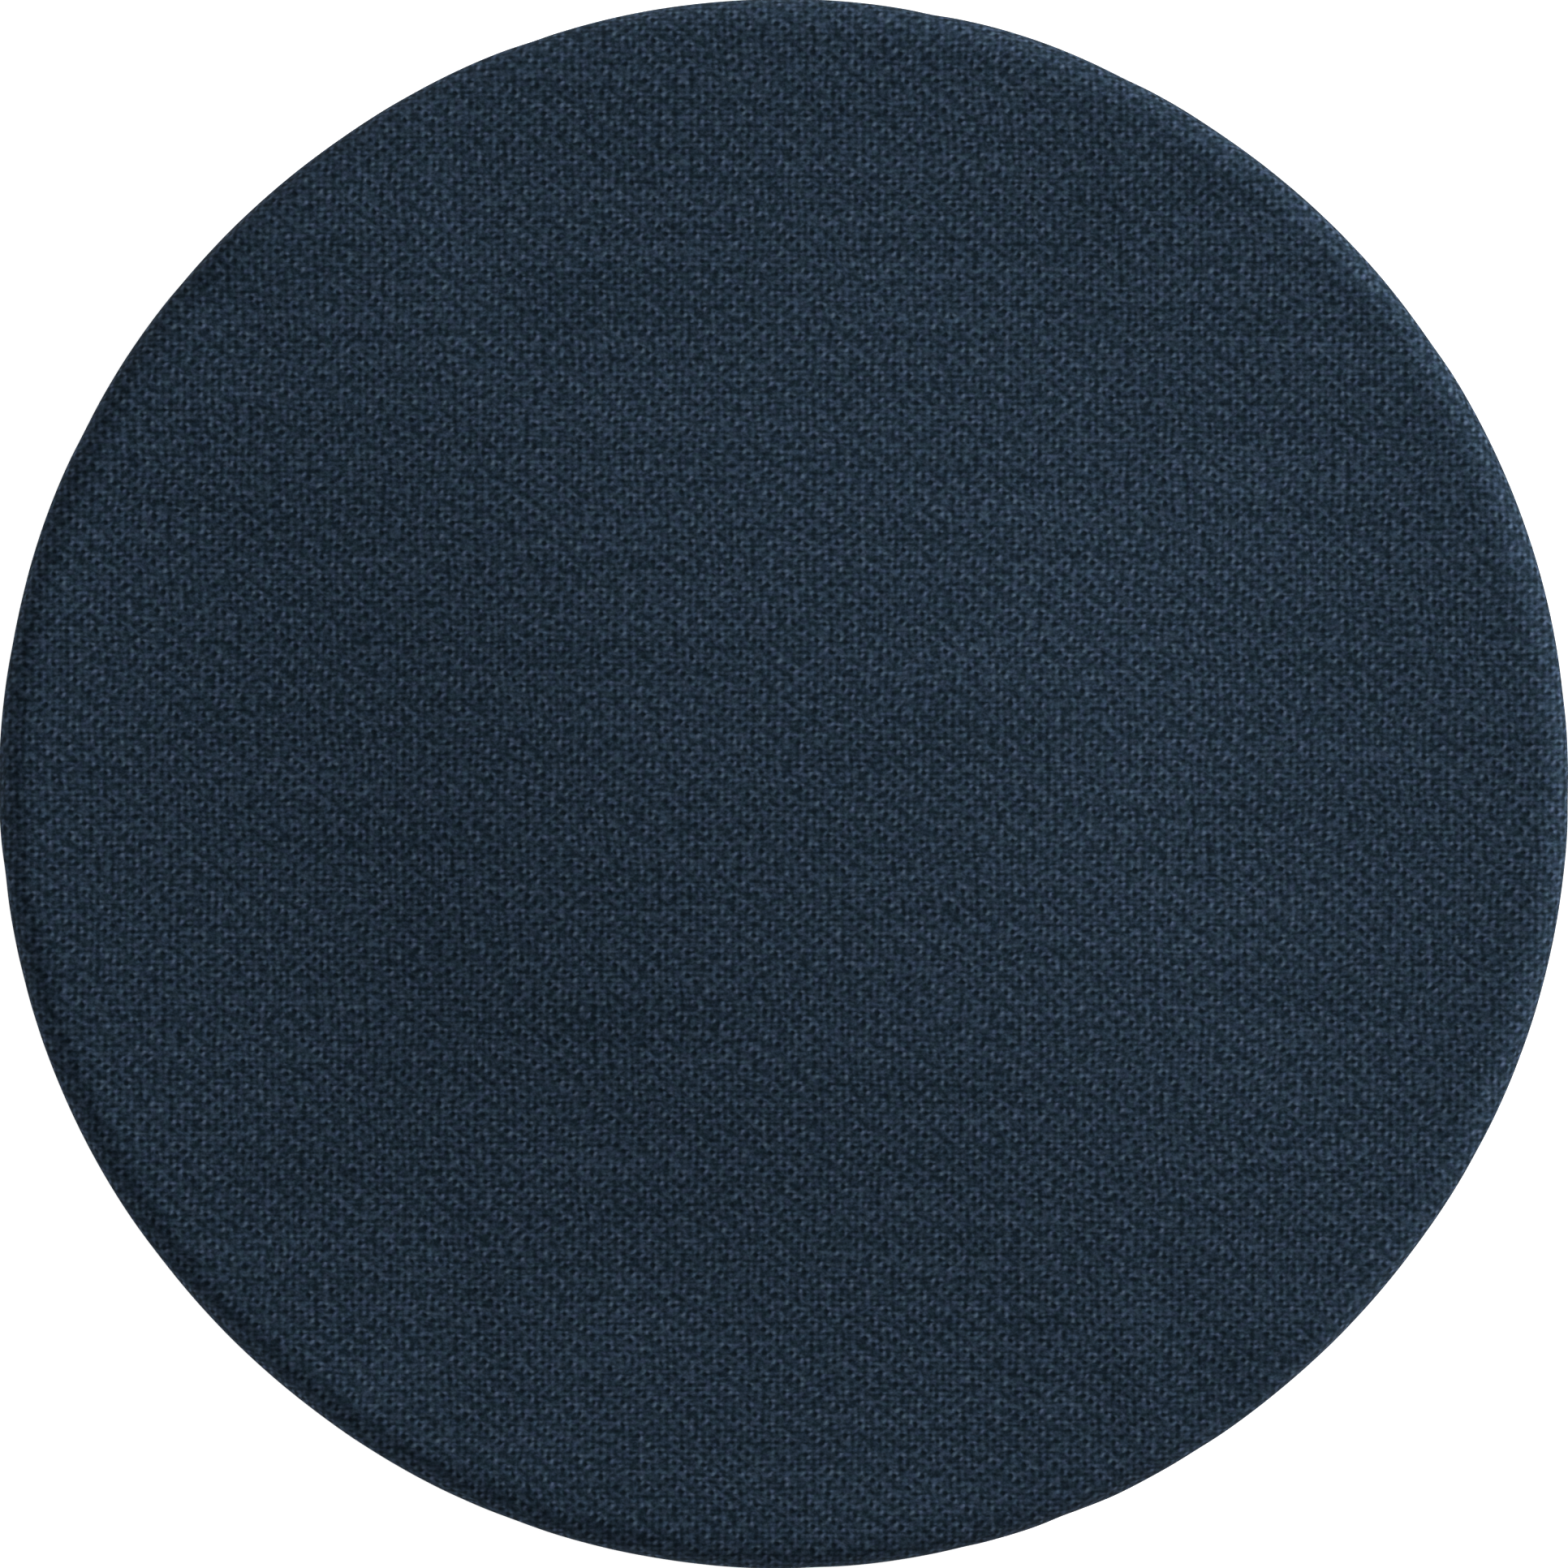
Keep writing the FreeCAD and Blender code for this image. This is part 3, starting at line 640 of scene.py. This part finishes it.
def tape_section():
    """The lower tape's section: flat, with rounded edges and a thin waist beside the corded edge."""
    low, high = zip_z - tape_edge - tape_width, zip_z - tape_edge
    half = tape / 2
    waist = high - 2.4 * half
    line = arc_points((tape_r, low + half), half, 180, 360, 8, with_start=True)
    line += [(tape_r + half, waist - half), (tape_r + 0.8 * half, waist)]
    line += arc_points((tape_r, high - half), half, 0, 180, 8, with_start=True)
    line += [(tape_r - 0.8 * half, waist), (tape_r - half, waist - half)]
    return line


def ribbed_tape():
    """Dyed polyester zip tape, woven in fine lengthwise ribs.
    The eye gets close parallel ribs crossed by short picks, a shade blacker than the cover."""
    rib, pick = 0.85 * MM, 0.6 * MM
    material, tree = new_material("woven_polyester_zip_tape")
    place = add(tree, "UVMap", uv_map="cloth")
    phase = add(tree, "VectorMath", {0: place, 1: (math.tau / pick, math.tau / rib, 0)},
                operation="MULTIPLY")
    ripple = add(tree, "VectorMath", {0: phase}, operation="SINE")
    parts = add(tree, "SeparateXYZ", {0: ripple})
    picks = add(tree, "Math", {0: parts.outputs["X"], 1: 0.35}, operation="MULTIPLY")
    relief = add(tree, "Math", {0: parts.outputs["Y"], 1: picks}, operation="ADD")
    fuzz = add(tree, "TexNoise", {"Vector": place, "Scale": 1 / (1.2 * MM), "Detail": 3.0})
    tone_and_painted_shade = add(tree, "Math", {0: relief, 1: 0.25, 2: fuzz}, operation="MULTIPLY_ADD")
    # The ramp lightens the ribs' crests and darkens the grooves between them: painted shade from the
    # relief, over the tape's own fuzz.
    shade = add(tree, "ValToRGB", {"Fac": tone_and_painted_shade}, stops=[
        (0.1, "#0A1119"), (0.5, "#15202C"), (0.9, "#243343")])
    bump = add(tree, "Bump", {"Strength": 0.5, "Distance": 0.15 * MM, "Height": relief})
    cloth = add(tree, "BsdfPrincipled", {
        "Base Color": shade.outputs["Color"], "Roughness": 0.8, "Specular IOR Level": 0.3,
        "Normal": bump})
    add(tree, "OutputMaterial", {"Surface": cloth})
    return material


zip_tape_cloth = ribbed_tape()
for side, section in (("lower", tape_section()), ("upper", mirrored(tape_section()))):
    zip_tape = swept("zip_tape_cloth_" + side, np.array(section), zip_middle - tape_half_angle,
                     zip_middle + tape_half_angle, steps=strip_steps)
    zip_tape.data.materials.append(zip_tape_cloth)
    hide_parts("zip_tape_" + side)


# ---- Zip teeth and stops ----
# Acetal teeth, moulded in place round the corded edge of each tape, with a stop at each end.
# The two rows stand half a pitch apart, so that each nose sits between two on the other tape.

def finish_piece(node, material, edge=0.0):
    """Gives a carried-over piece its finish, and rounds its edges by the given width."""
    piece = nodes[node]
    piece.data.materials.clear()
    piece.data.materials.append(material)
    if edge:
        weld = piece.modifiers.new("one_skin", "WELD")
        weld.merge_threshold = 0.002 * MM
        bevel = piece.modifiers.new("rounded_edges", "BEVEL")
        bevel.width = edge
        bevel.segments = 3
        bevel.limit_method = "ANGLE"
        bevel.angle_limit = math.radians(35)


def moulded_acetal():
    """Navy-black acetal, injection moulded straight onto the tape.
    The eye gets a low, slightly greasy gloss that varies a little from tooth to tooth."""
    material, tree = new_material("moulded_acetal_navy")
    place = add(tree, "TexCoord").outputs["Object"]
    patch = add(tree, "TexNoise", {"Vector": place, "Scale": 1 / (3.2 * MM), "Detail": 2.0})
    shade = add(tree, "ValToRGB", {"Fac": patch}, stops=[(0.3, "#101922"), (0.7, "#1C2834")])
    gloss = add(tree, "MapRange", {"Value": patch, "To Min": 0.28, "To Max": 0.46})
    orange_peel = add(tree, "TexNoise", {"Vector": place, "Scale": 1 / (0.5 * MM), "Detail": 2.0})
    bump = add(tree, "Bump", {"Strength": 0.25, "Distance": 0.03 * MM, "Height": orange_peel})
    plastic = add(tree, "BsdfPrincipled", {
        "Base Color": shade.outputs["Color"], "Roughness": gloss, "IOR": 1.48, "Normal": bump})
    add(tree, "OutputMaterial", {"Surface": plastic})
    return material


acetal = moulded_acetal()
for node in ("zip_teeth_lower", "zip_teeth_upper", "zip_top_stops", "zip_bottom_stop"):
    finish_piece(node, acetal, edge=0.16 * MM)


# ---- Zip slider and pull tab ----
# Zinc die castings, painted to match the cover. The slider runs on the chain between its two plates.
# The flat pull tab hangs on the slider's bail and can be swung over.

def painted_casting():
    """Zinc die casting with a baked navy-black paint.
    The eye gets a satin coat with fine orange peel, rubbed brighter and smoother in small patches."""
    material, tree = new_material("painted_zinc_casting")
    place = add(tree, "TexCoord").outputs["Object"]
    rub = add(tree, "TexNoise", {"Vector": place, "Scale": 1 / (4 * MM), "Detail": 6.0,
                                 "Roughness": 0.7})
    shade = add(tree, "ValToRGB", {"Fac": rub}, stops=[
        (0.35, "#151E28"), (0.62, "#202C38"), (0.72, "#46525E")])
    gloss = add(tree, "MapRange", {"Value": rub, "From Min": 0.35, "From Max": 0.75,
                                   "To Min": 0.42, "To Max": 0.26})
    peel = add(tree, "TexNoise", {"Vector": place, "Scale": 1 / (0.35 * MM), "Detail": 2.0})
    bump = add(tree, "Bump", {"Strength": 0.3, "Distance": 0.03 * MM, "Height": peel})
    paint = add(tree, "BsdfPrincipled", {
        "Base Color": shade.outputs["Color"], "Roughness": gloss, "Metallic": 0.35,
        "Coat Weight": 0.4, "Coat Roughness": 0.2, "Normal": bump})
    add(tree, "OutputMaterial", {"Surface": paint})
    return material


painted_zinc = painted_casting()
finish_piece("zip_slider", painted_zinc, edge=0.18 * MM)
finish_piece("zip_puller", painted_zinc, edge=0.25 * MM)


# ---- Zip end tabs ----
# A folded patch of the cover cloth over each end of the zip, where the strips meet the front band.
# Its edges are turned under, and it is sewn down by a square of stitches with a cross.

tab_half_angle = 3
tab_half_height = 9 * MM
tab_edge = fabric / 2
pressed = 0.85 * fabric


def rounded_patch(side_angle):
    """A patch bent round the band, swelling a little in the middle, with its turned edges rounded."""
    most_swell, fray_depth, fray_width = 0.25 * MM, 0.06 * MM, 5 * MM
    edge_share, edge_height = 0.12, 0.15
    low, high = zip_z - tab_half_height, zip_z + tab_half_height
    face = band_r + fabric
    levels = np.linspace(low + tab_edge, high - tab_edge, 13)
    line = arc_points((face - tab_edge, low + tab_edge), tab_edge, 270, 360, 5, with_start=True)
    line += [(face, level) for level in levels[1:-1]]
    line += arc_points((face - tab_edge, high - tab_edge), tab_edge, 0, 90, 5, with_start=True)
    line += [(band_r, high), (band_r, low)]

    def wave(outline, angle):
        across = (math.degrees(angle) % 360 - side_angle) / tab_half_angle
        up = (outline[:, 1] - zip_z) / tab_half_height
        swell = most_swell * (1 - across ** 2) * np.sqrt(np.clip(1 - up ** 2, 0, None))
        edge = np.clip((1 - abs(across)) / edge_share, 0, 1)
        thick = pressed * (math.sqrt(1 - (1 - edge) ** 2) * (1 - edge_height) + edge_height)
        outward = (outline[:, 0] - band_r) / fabric
        side = Vector((math.cos(angle), math.sin(angle), 0)) * band_r
        fray = [noise.noise((side + Vector((0, 0, level))) / fray_width) for level in outline[:, 1]]
        moved = outline.copy()
        moved[:, 0] = band_r + outward * (thick + swell + fray_depth * np.array(fray))
        return moved
    return np.array(line), wave


end_tabs = {"left": zip_middle + strip_half_angle, "right": zip_middle - strip_half_angle}
for side, middle in end_tabs.items():
    patch, bent = rounded_patch(middle)
    tab = swept("zip_end_patch_" + side, patch, middle - tab_half_angle, middle + tab_half_angle,
                steps=36, wave=bent)
    tab.data.materials.append(navy_cloth)
    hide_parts("zip_end_tab_" + side)


# ---- Topstitching along the zip and on the tabs ----
# Bonded polyester thread, lock-stitched through hem and tape about eight to the inch.
# Each stitch lies on the cloth as a short bead that dips in at both ends.

thread_radius = 0.27 * MM
stitch_pitch = 3.2 * MM
stitch_from_hem = 2.2 * MM


def twisted_thread():
    """Bonded three-ply polyester thread, dyed a shade lighter than the cover.
    The eye gets a soft shine broken by the twist of the plies: real gloss, with a painted highlight on each
    ply and painted shade between them."""
    ply = 0.5 * MM
    material, tree = new_material("bonded_polyester_thread")
    place = add(tree, "UVMap", uv_map="cloth")
    turns = add(tree, "VectorMath", {0: place, 1: (math.tau / ply, math.tau / ply, 0)},
                operation="DOT_PRODUCT")
    twist = add(tree, "Math", {0: turns.outputs["Value"]}, operation="SINE")
    # Lighter on the plies' crests and darker in the grooves between them: painted highlight and shade along
    # the twist.
    shade = add(tree, "ValToRGB", {"Fac": twist}, stops=[(0.0, "#1B2835"), (1.0, "#33465A")])
    bump = add(tree, "Bump", {"Strength": 0.5, "Distance": 0.06 * MM, "Height": twist})
    thread = add(tree, "BsdfPrincipled", {
        "Base Color": shade.outputs["Color"], "Roughness": 0.5, "Normal": bump})
    add(tree, "OutputMaterial", {"Surface": thread})
    return material


thread_finish = twisted_thread()


def stitches(name, runs, face_r):
    """Beads of thread along runs of ((angle, height), (angle, height)), lying on a face at its radius."""
    rings, around = 9, 8
    bead_share, end_dip, end_radius = 0.86, 0.30 * MM, 0.02 * MM
    points, faces, flat = [], [], []
    for (first, low), (last, high) in runs:
        width = math.radians(last - first) * band_r
        count = max(1, round(math.hypot(width, high - low) / stitch_pitch))
        along = Vector((width, high - low)).normalized()
        for number in range(count):
            share = (number + 0.5) / count
            angle = math.radians(first + (last - first) * share)
            level = low + (high - low) * share
            length = math.hypot(width, high - low) / count * bead_share
            start = len(points)
            for ring in range(rings):
                t = 2 * ring / (rings - 1) - 1
                reach = t * length / 2
                bead = thread_radius * (1 - abs(t) ** 3) ** 0.5 + end_radius
                middle_r = face_r + thread_radius * 0.4 - end_dip * t ** 4
                for spoke in range(around):
                    turn = math.tau * spoke / around
                    sideways = bead * math.cos(turn)
                    out = middle_r + bead * math.sin(turn)
                    turned = angle + (reach * along.x - sideways * along.y) / band_r
                    height = level + reach * along.y + sideways * along.x
                    points.append((out * math.cos(turned), out * math.sin(turned), height))
                    flat.append((reach, turn * thread_radius))
            for ring in range(rings - 1):
                near = start + ring * around
                for spoke in range(around):
                    here, there = near + spoke, near + (spoke + 1) % around
                    faces.append((here, there, there + around, here + around))
            faces.append(tuple(range(start + around - 1, start - 1, -1)))
            faces.append(tuple(range(start + (rings - 1) * around, start + rings * around)))
    piece = new_piece(name, points, faces)
    lay_cloth(piece, flat)
    piece.data.materials.append(thread_finish)
    return piece


seam_level = zip_opening + stitch_from_hem
row_half_angle = strip_half_angle - tab_half_angle - 1
rows = [((zip_middle - row_half_angle, zip_z + level), (zip_middle + row_half_angle, zip_z + level))
        for level in (-seam_level, seam_level)]
topstitching = stitches("zip_topstitching", rows, face_r=band_r + 0.3 * MM)
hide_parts("zip_stitching")

for side, middle in end_tabs.items():
    across, up = 0.72 * tab_half_angle, 0.78 * tab_half_height
    corners = [(middle - across, zip_z - up), (middle + across, zip_z - up),
               (middle + across, zip_z + up), (middle - across, zip_z + up)]
    box = list(zip(corners, corners[1:] + corners[:1]))
    box += [(corners[0], corners[2]), (corners[1], corners[3])]
    stitches("tab_stitching_" + side, box, face_r=band_r + pressed + 0.12 * MM)


# ---- Base panel ----
# The underside: one round of charcoal polyester canvas, its edge folded in over the lower piping.
# It lies nearly flat on the seat, and sags a little between the grip dots.

dot_height = 1.2 * MM
dot_radius = 5 * MM
dot_pitch = 34 * MM
dot_rings = 4
base_z = low_corner.z + dot_height
fold_gap = 0.1 * MM
base_cells = 96


def base_profile():
    """The base's outer line: flat to its fold, up round it, and in to the cut edge in the seam."""
    fold = fabric + fold_gap / 2
    fold_z = base_z + fold
    edge_z = lower_seam_z - flange / 2
    reach = piping_radius + wrap_gap + fold
    fold_r = piping_r - math.sqrt(reach ** 2 - (lower_seam_z - fold_z) ** 2)
    line = [(r, base_z) for r in np.linspace(0, fold_r, 80)]
    line += arc_points((fold_r, fold_z), fold, 270, 450, 12)
    line.append((cut_edge_r, edge_z))
    return np.array(line), fold_r


dot_spots = [(0.0, 0.0)]
for ring in range(1, dot_rings + 1):
    for index in range(6 * ring):
        turn = math.tau * index / (6 * ring)
        dot_spots.append((ring * dot_pitch * math.cos(turn), ring * dot_pitch * math.sin(turn)))

base_line, fold_r = base_profile()
base_length = np.concatenate([[0], np.cumsum(np.hypot(*np.diff(base_line, axis=0).T))])
base_spots, base_faces = round_grid(base_cells)
along = np.interp(base_spots[:, 0], [0, 0.85, 1], [0, fold_r - 4 * MM, base_length[-1]])
ring_r = np.interp(along, base_length, base_line[:, 0])
ring_z = np.interp(along, base_length, base_line[:, 1])
x, y = ring_r * np.cos(base_spots[:, 1]), ring_r * np.sin(base_spots[:, 1])
to_dot = np.min([np.hypot(x - dx, y - dy) for dx, dy in dot_spots], axis=0)
sag_reach, sag_depth = 12 * MM, 0.45 * MM
between = np.clip((to_dot - dot_radius) / sag_reach, 0, 1) * np.clip((fold_r - along) / sag_reach, 0, 1)
unevenness = np.array([noise.noise(Vector((px, py, 0)) / (2 * sag_reach)) for px, py in zip(x, y)])
sag = between * sag_depth * (1 + unevenness)
base_cloth = new_piece("base_cloth", np.column_stack([x, y, ring_z - sag]), base_faces)
lay_cloth(base_cloth, np.column_stack([along * np.cos(base_spots[:, 1]), along * np.sin(base_spots[:, 1])]))
base_cloth.data.flip_normals()
thick = base_cloth.modifiers.new("cloth_thickness", "SOLIDIFY")
thick.thickness = fabric
thick.offset = -1
round_off = base_cloth.modifiers.new("smooth_cloth", "SUBSURF")
round_off.levels = round_off.render_levels = 1


def plain_weave(name, source, pitch, shades, bulge):
    """A plain weave at a real thread spacing: each thread passes over one and under the next.
    The eye gets an even grid of small rounded crossings with thin dark gaps, the gaps' dark painted shade."""
    material, tree = new_material(name)
    place = add(tree, source[0], **source[1]).outputs[source[2]]
    threads = add(tree, "VectorMath", {0: place, "Scale": 1 / pitch}, operation="SCALE")
    half_turns = add(tree, "VectorMath", {0: threads, "Scale": math.pi}, operation="SCALE")
    waves = add(tree, "VectorMath", {0: half_turns}, operation="SINE")
    rounded = add(tree, "VectorMath", {0: waves}, operation="ABSOLUTE")
    lift = add(tree, "SeparateXYZ", {0: rounded})
    checks = add(tree, "TexChecker", {"Vector": threads, "Scale": 1.0})
    over = add(tree, "Mix", {0: checks.outputs["Fac"], 2: lift.outputs["X"], 3: lift.outputs["Y"]})
    fluff = add(tree, "TexNoise", {"Vector": threads, "Scale": 0.6, "Detail": 4.0})
    tone_and_painted_shade = add(tree, "Math", {0: over, 1: 0.55, 2: fluff}, operation="MULTIPLY_ADD")
    places = (0.35, 0.8, 1.1)
    # Darker where the threads dip at their edges and gaps: painted shade from the thread lift, over a
    # random fluff.
    shade = add(tree, "ValToRGB", {"Fac": tone_and_painted_shade}, stops=list(zip(places, shades)))
    bump = add(tree, "Bump", {"Strength": 0.6, "Distance": bulge, "Height": over})
    cloth = add(tree, "BsdfPrincipled", {
        "Base Color": shade.outputs["Color"], "Roughness": 0.9, "Specular IOR Level": 0.2,
        "Normal": bump})
    add(tree, "OutputMaterial", {"Surface": cloth})
    return material


on_cloth = ("UVMap", {"uv_map": "cloth"}, "UV")
in_space = ("TexCoord", {}, "Object")
canvas = plain_weave("charcoal_polyester_canvas", on_cloth, pitch=1.0 * MM,
                     shades=("#101418", "#20262C", "#363E46"), bulge=0.18 * MM)
base_cloth.data.materials.append(canvas)
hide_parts("base_panel")


# ---- Grip dots ----
# Silicone rubber, screen-printed on the base in rings and cured, so that the cushion doesn't slide.
# Each dot is a low button with a rounded edge.

def moulded_button():
    """A dot's outline in its own (r, z), from the middle of its face to its edge on the cloth."""
    edge = 0.9 * MM
    line = [(0.0, 0.0), (0.45 * dot_radius, 0.01 * MM), (dot_radius - edge - 0.4 * MM, 0.05 * MM)]
    line += arc_points((dot_radius - edge, edge + 0.08 * MM), edge, 280, 355, 7)
    line += [(dot_radius, dot_height), (0.0, dot_height)]
    return line


def printed_silicone():
    """Cured silicone rubber, filled grey-black.
    The eye gets a dull, slightly waxy surface with fine specks of dust on it."""
    material, tree = new_material("printed_silicone_rubber")
    place = add(tree, "TexCoord").outputs["Object"]
    dust = add(tree, "TexNoise", {"Vector": place, "Scale": 1 / (0.7 * MM), "Detail": 5.0,
                                  "Roughness": 0.7})
    shade = add(tree, "ValToRGB", {"Fac": dust}, stops=[
        (0.3, "#2A2E32"), (0.62, "#363B40"), (0.75, "#585D61")])
    gloss = add(tree, "MapRange", {"Value": dust, "To Min": 0.36, "To Max": 0.66})
    bump = add(tree, "Bump", {"Strength": 0.3, "Distance": 0.04 * MM, "Height": dust})
    rubber = add(tree, "BsdfPrincipled", {
        "Base Color": shade.outputs["Color"], "Roughness": gloss, "IOR": 1.41,
        "Subsurface Weight": 0.05, "Subsurface Scale": 0.5 * MM, "Normal": bump})
    add(tree, "OutputMaterial", {"Surface": rubber})
    return material


button = moulded_button()
spokes = 28
points, faces = [], []
for dx, dy in dot_spots:
    start = len(points)
    points.append((dx, dy, button[0][1]))
    for r, z in button[1:-1]:
        for spoke in range(spokes):
            turn = math.tau * spoke / spokes
            points.append((dx + r * math.cos(turn), dy + r * math.sin(turn), z))
    points.append((dx, dy, button[-1][1]))
    rings = len(button) - 2
    for spoke in range(spokes):
        after = (spoke + 1) % spokes
        faces.append((start, start + 1 + after, start + 1 + spoke))
        for ring in range(rings - 1):
            near, far = start + 1 + ring * spokes, start + 1 + (ring + 1) * spokes
            faces.append((near + spoke, near + after, far + after, far + spoke))
        last = start + 1 + (rings - 1) * spokes
        faces.append((last + spoke, last + after, len(points) - 1))
dots = new_piece("silicone_dots", points, faces)
dots.data.set_sharp_from_angle(angle=math.radians(60))
dots.data.materials.append(printed_silicone())
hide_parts("grip_dots")


# ---- Filling, cords, threads and label ----
# Inside the cover: two blocks of polyurethane foam, wrapped in wadding and sewn into a dark lining,
# with cotton cords in the piping and a blank care label caught in the upper seam.
# The lining's and the label's threads are drawn about three times too coarse, so that they show.

def open_cell_foam(name, cell, shades):
    """Slabstock polyurethane foam, cut to shape.
    The eye gets a matt surface pitted with fine open cells, drawn at twice their size so they show;
    the cells' dark hollows are painted shade."""
    material, tree = new_material(name)
    place = add(tree, "TexCoord").outputs["Object"]
    cells = add(tree, "TexVoronoi", {"Vector": place, "Scale": 1 / cell})
    cloud = add(tree, "TexNoise", {"Vector": place, "Scale": 1 / (30 * MM), "Detail": 3.0})
    tone_and_painted_shade = add(tree, "Math", {0: cells.outputs["Distance"], 1: 0.5, 2: cloud}, operation="MULTIPLY_ADD")
    # Darker in each cell's hollow, lighter on the walls between: painted shade from the cell pattern, over
    # a slow random cloud.
    shade = add(tree, "ValToRGB", {"Fac": tone_and_painted_shade}, stops=[(0.3, shades[0]), (1.0, shades[1])])
    bump = add(tree, "Bump", {"Strength": 0.7, "Distance": 0.4 * MM,
                              "Height": cells.outputs["Distance"]})
    foam = add(tree, "BsdfPrincipled", {
        "Base Color": shade.outputs["Color"], "Roughness": 0.95, "Normal": bump})
    add(tree, "OutputMaterial", {"Surface": foam})
    return material


def carded_wadding():
    """Carded polyester wadding, lightly bonded.
    The eye gets white, cloudy, tangled fibres that run mostly one way."""
    material, tree = new_material("carded_polyester_wadding")
    place = add(tree, "TexCoord").outputs["Object"]
    drawn_out = add(tree, "VectorMath", {0: place, 1: (1 / (14 * MM), 1 / (1.4 * MM), 1 / (1.4 * MM))},
                    operation="MULTIPLY")
    fibres = add(tree, "TexNoise", {"Vector": drawn_out, "Scale": 1.0, "Detail": 6.0,
                                    "Distortion": 1.2})
    shade = add(tree, "ValToRGB", {"Fac": fibres}, stops=[(0.3, "#C9C9C6"), (0.7, "#F0F0EE")])
    bump = add(tree, "Bump", {"Strength": 0.8, "Distance": 0.8 * MM, "Height": fibres})
    fluff = add(tree, "BsdfPrincipled", {
        "Base Color": shade.outputs["Color"], "Roughness": 1.0, "Sheen Weight": 0.3, "Normal": bump})
    add(tree, "OutputMaterial", {"Surface": fluff})
    return material


def laid_cotton(name, lay, shades):
    """Cotton or polyester strands laid up with a twist, at the given length of lay.
    The eye gets slanting strands with soft dark grooves between them, the grooves' dark painted shade in
    the colour."""
    material, tree = new_material(name)
    place = add(tree, "TexCoord").outputs["Object"]
    parts = add(tree, "SeparateXYZ", {0: place})
    angle = add(tree, "Math", {0: parts.outputs["Y"], 1: parts.outputs["X"]}, operation="ARCTAN2")
    round_it = add(tree, "Math", {0: angle, 1: math.tau * piping_r / lay}, operation="MULTIPLY")
    slanted = add(tree, "Math", {0: parts.outputs["Z"], 1: math.tau / lay, 2: round_it},
                  operation="MULTIPLY_ADD")
    strands = add(tree, "Math", {0: slanted}, operation="SINE")
    # Darker in the grooves between strands: painted shade, from the same wave as the bump.
    shade = add(tree, "ValToRGB", {"Fac": strands}, stops=[(0.0, shades[0]), (0.8, shades[1])])
    bump = add(tree, "Bump", {"Strength": 0.7, "Distance": 0.2 * MM, "Height": strands})
    strand = add(tree, "BsdfPrincipled", {
        "Base Color": shade.outputs["Color"], "Roughness": 0.85, "Normal": bump})
    add(tree, "OutputMaterial", {"Surface": strand})
    return material


finish_piece("comfort_foam", open_cell_foam("soft_slabstock_foam", 1.2 * MM, ("#C9BE93", "#E6DDB8")))
finish_piece("support_foam", open_cell_foam("firm_slabstock_foam", 0.9 * MM, ("#7E8690", "#A3ABB4")))
finish_piece("fibre_wrap", carded_wadding())
lining = plain_weave("charcoal_polyester_lining", in_space, pitch=0.9 * MM,
                     shades=("#15181B", "#25292D", "#34393E"), bulge=0.1 * MM)
for node in ("inner_liner_top", "inner_liner_base"):
    finish_piece(node, lining)
cotton_cord = laid_cotton("laid_cotton_cord", 4.0 * MM, ("#A79F8C", "#DDD6C4"))
for node in ("upper_piping_cord", "lower_piping_cord"):
    finish_piece(node, cotton_cord)
seam_thread = laid_cotton("bonded_seam_thread", 0.6 * MM, ("#16212D", "#2B3B4C"))
for node in ("upper_seam_thread", "lower_seam_thread"):
    finish_piece(node, seam_thread)
finish_piece("care_label", plain_weave("white_satin_label", in_space, pitch=0.4 * MM,
                                       shades=("#BDBDBB", "#E4E4E2", "#F4F4F2"), bulge=0.03 * MM))
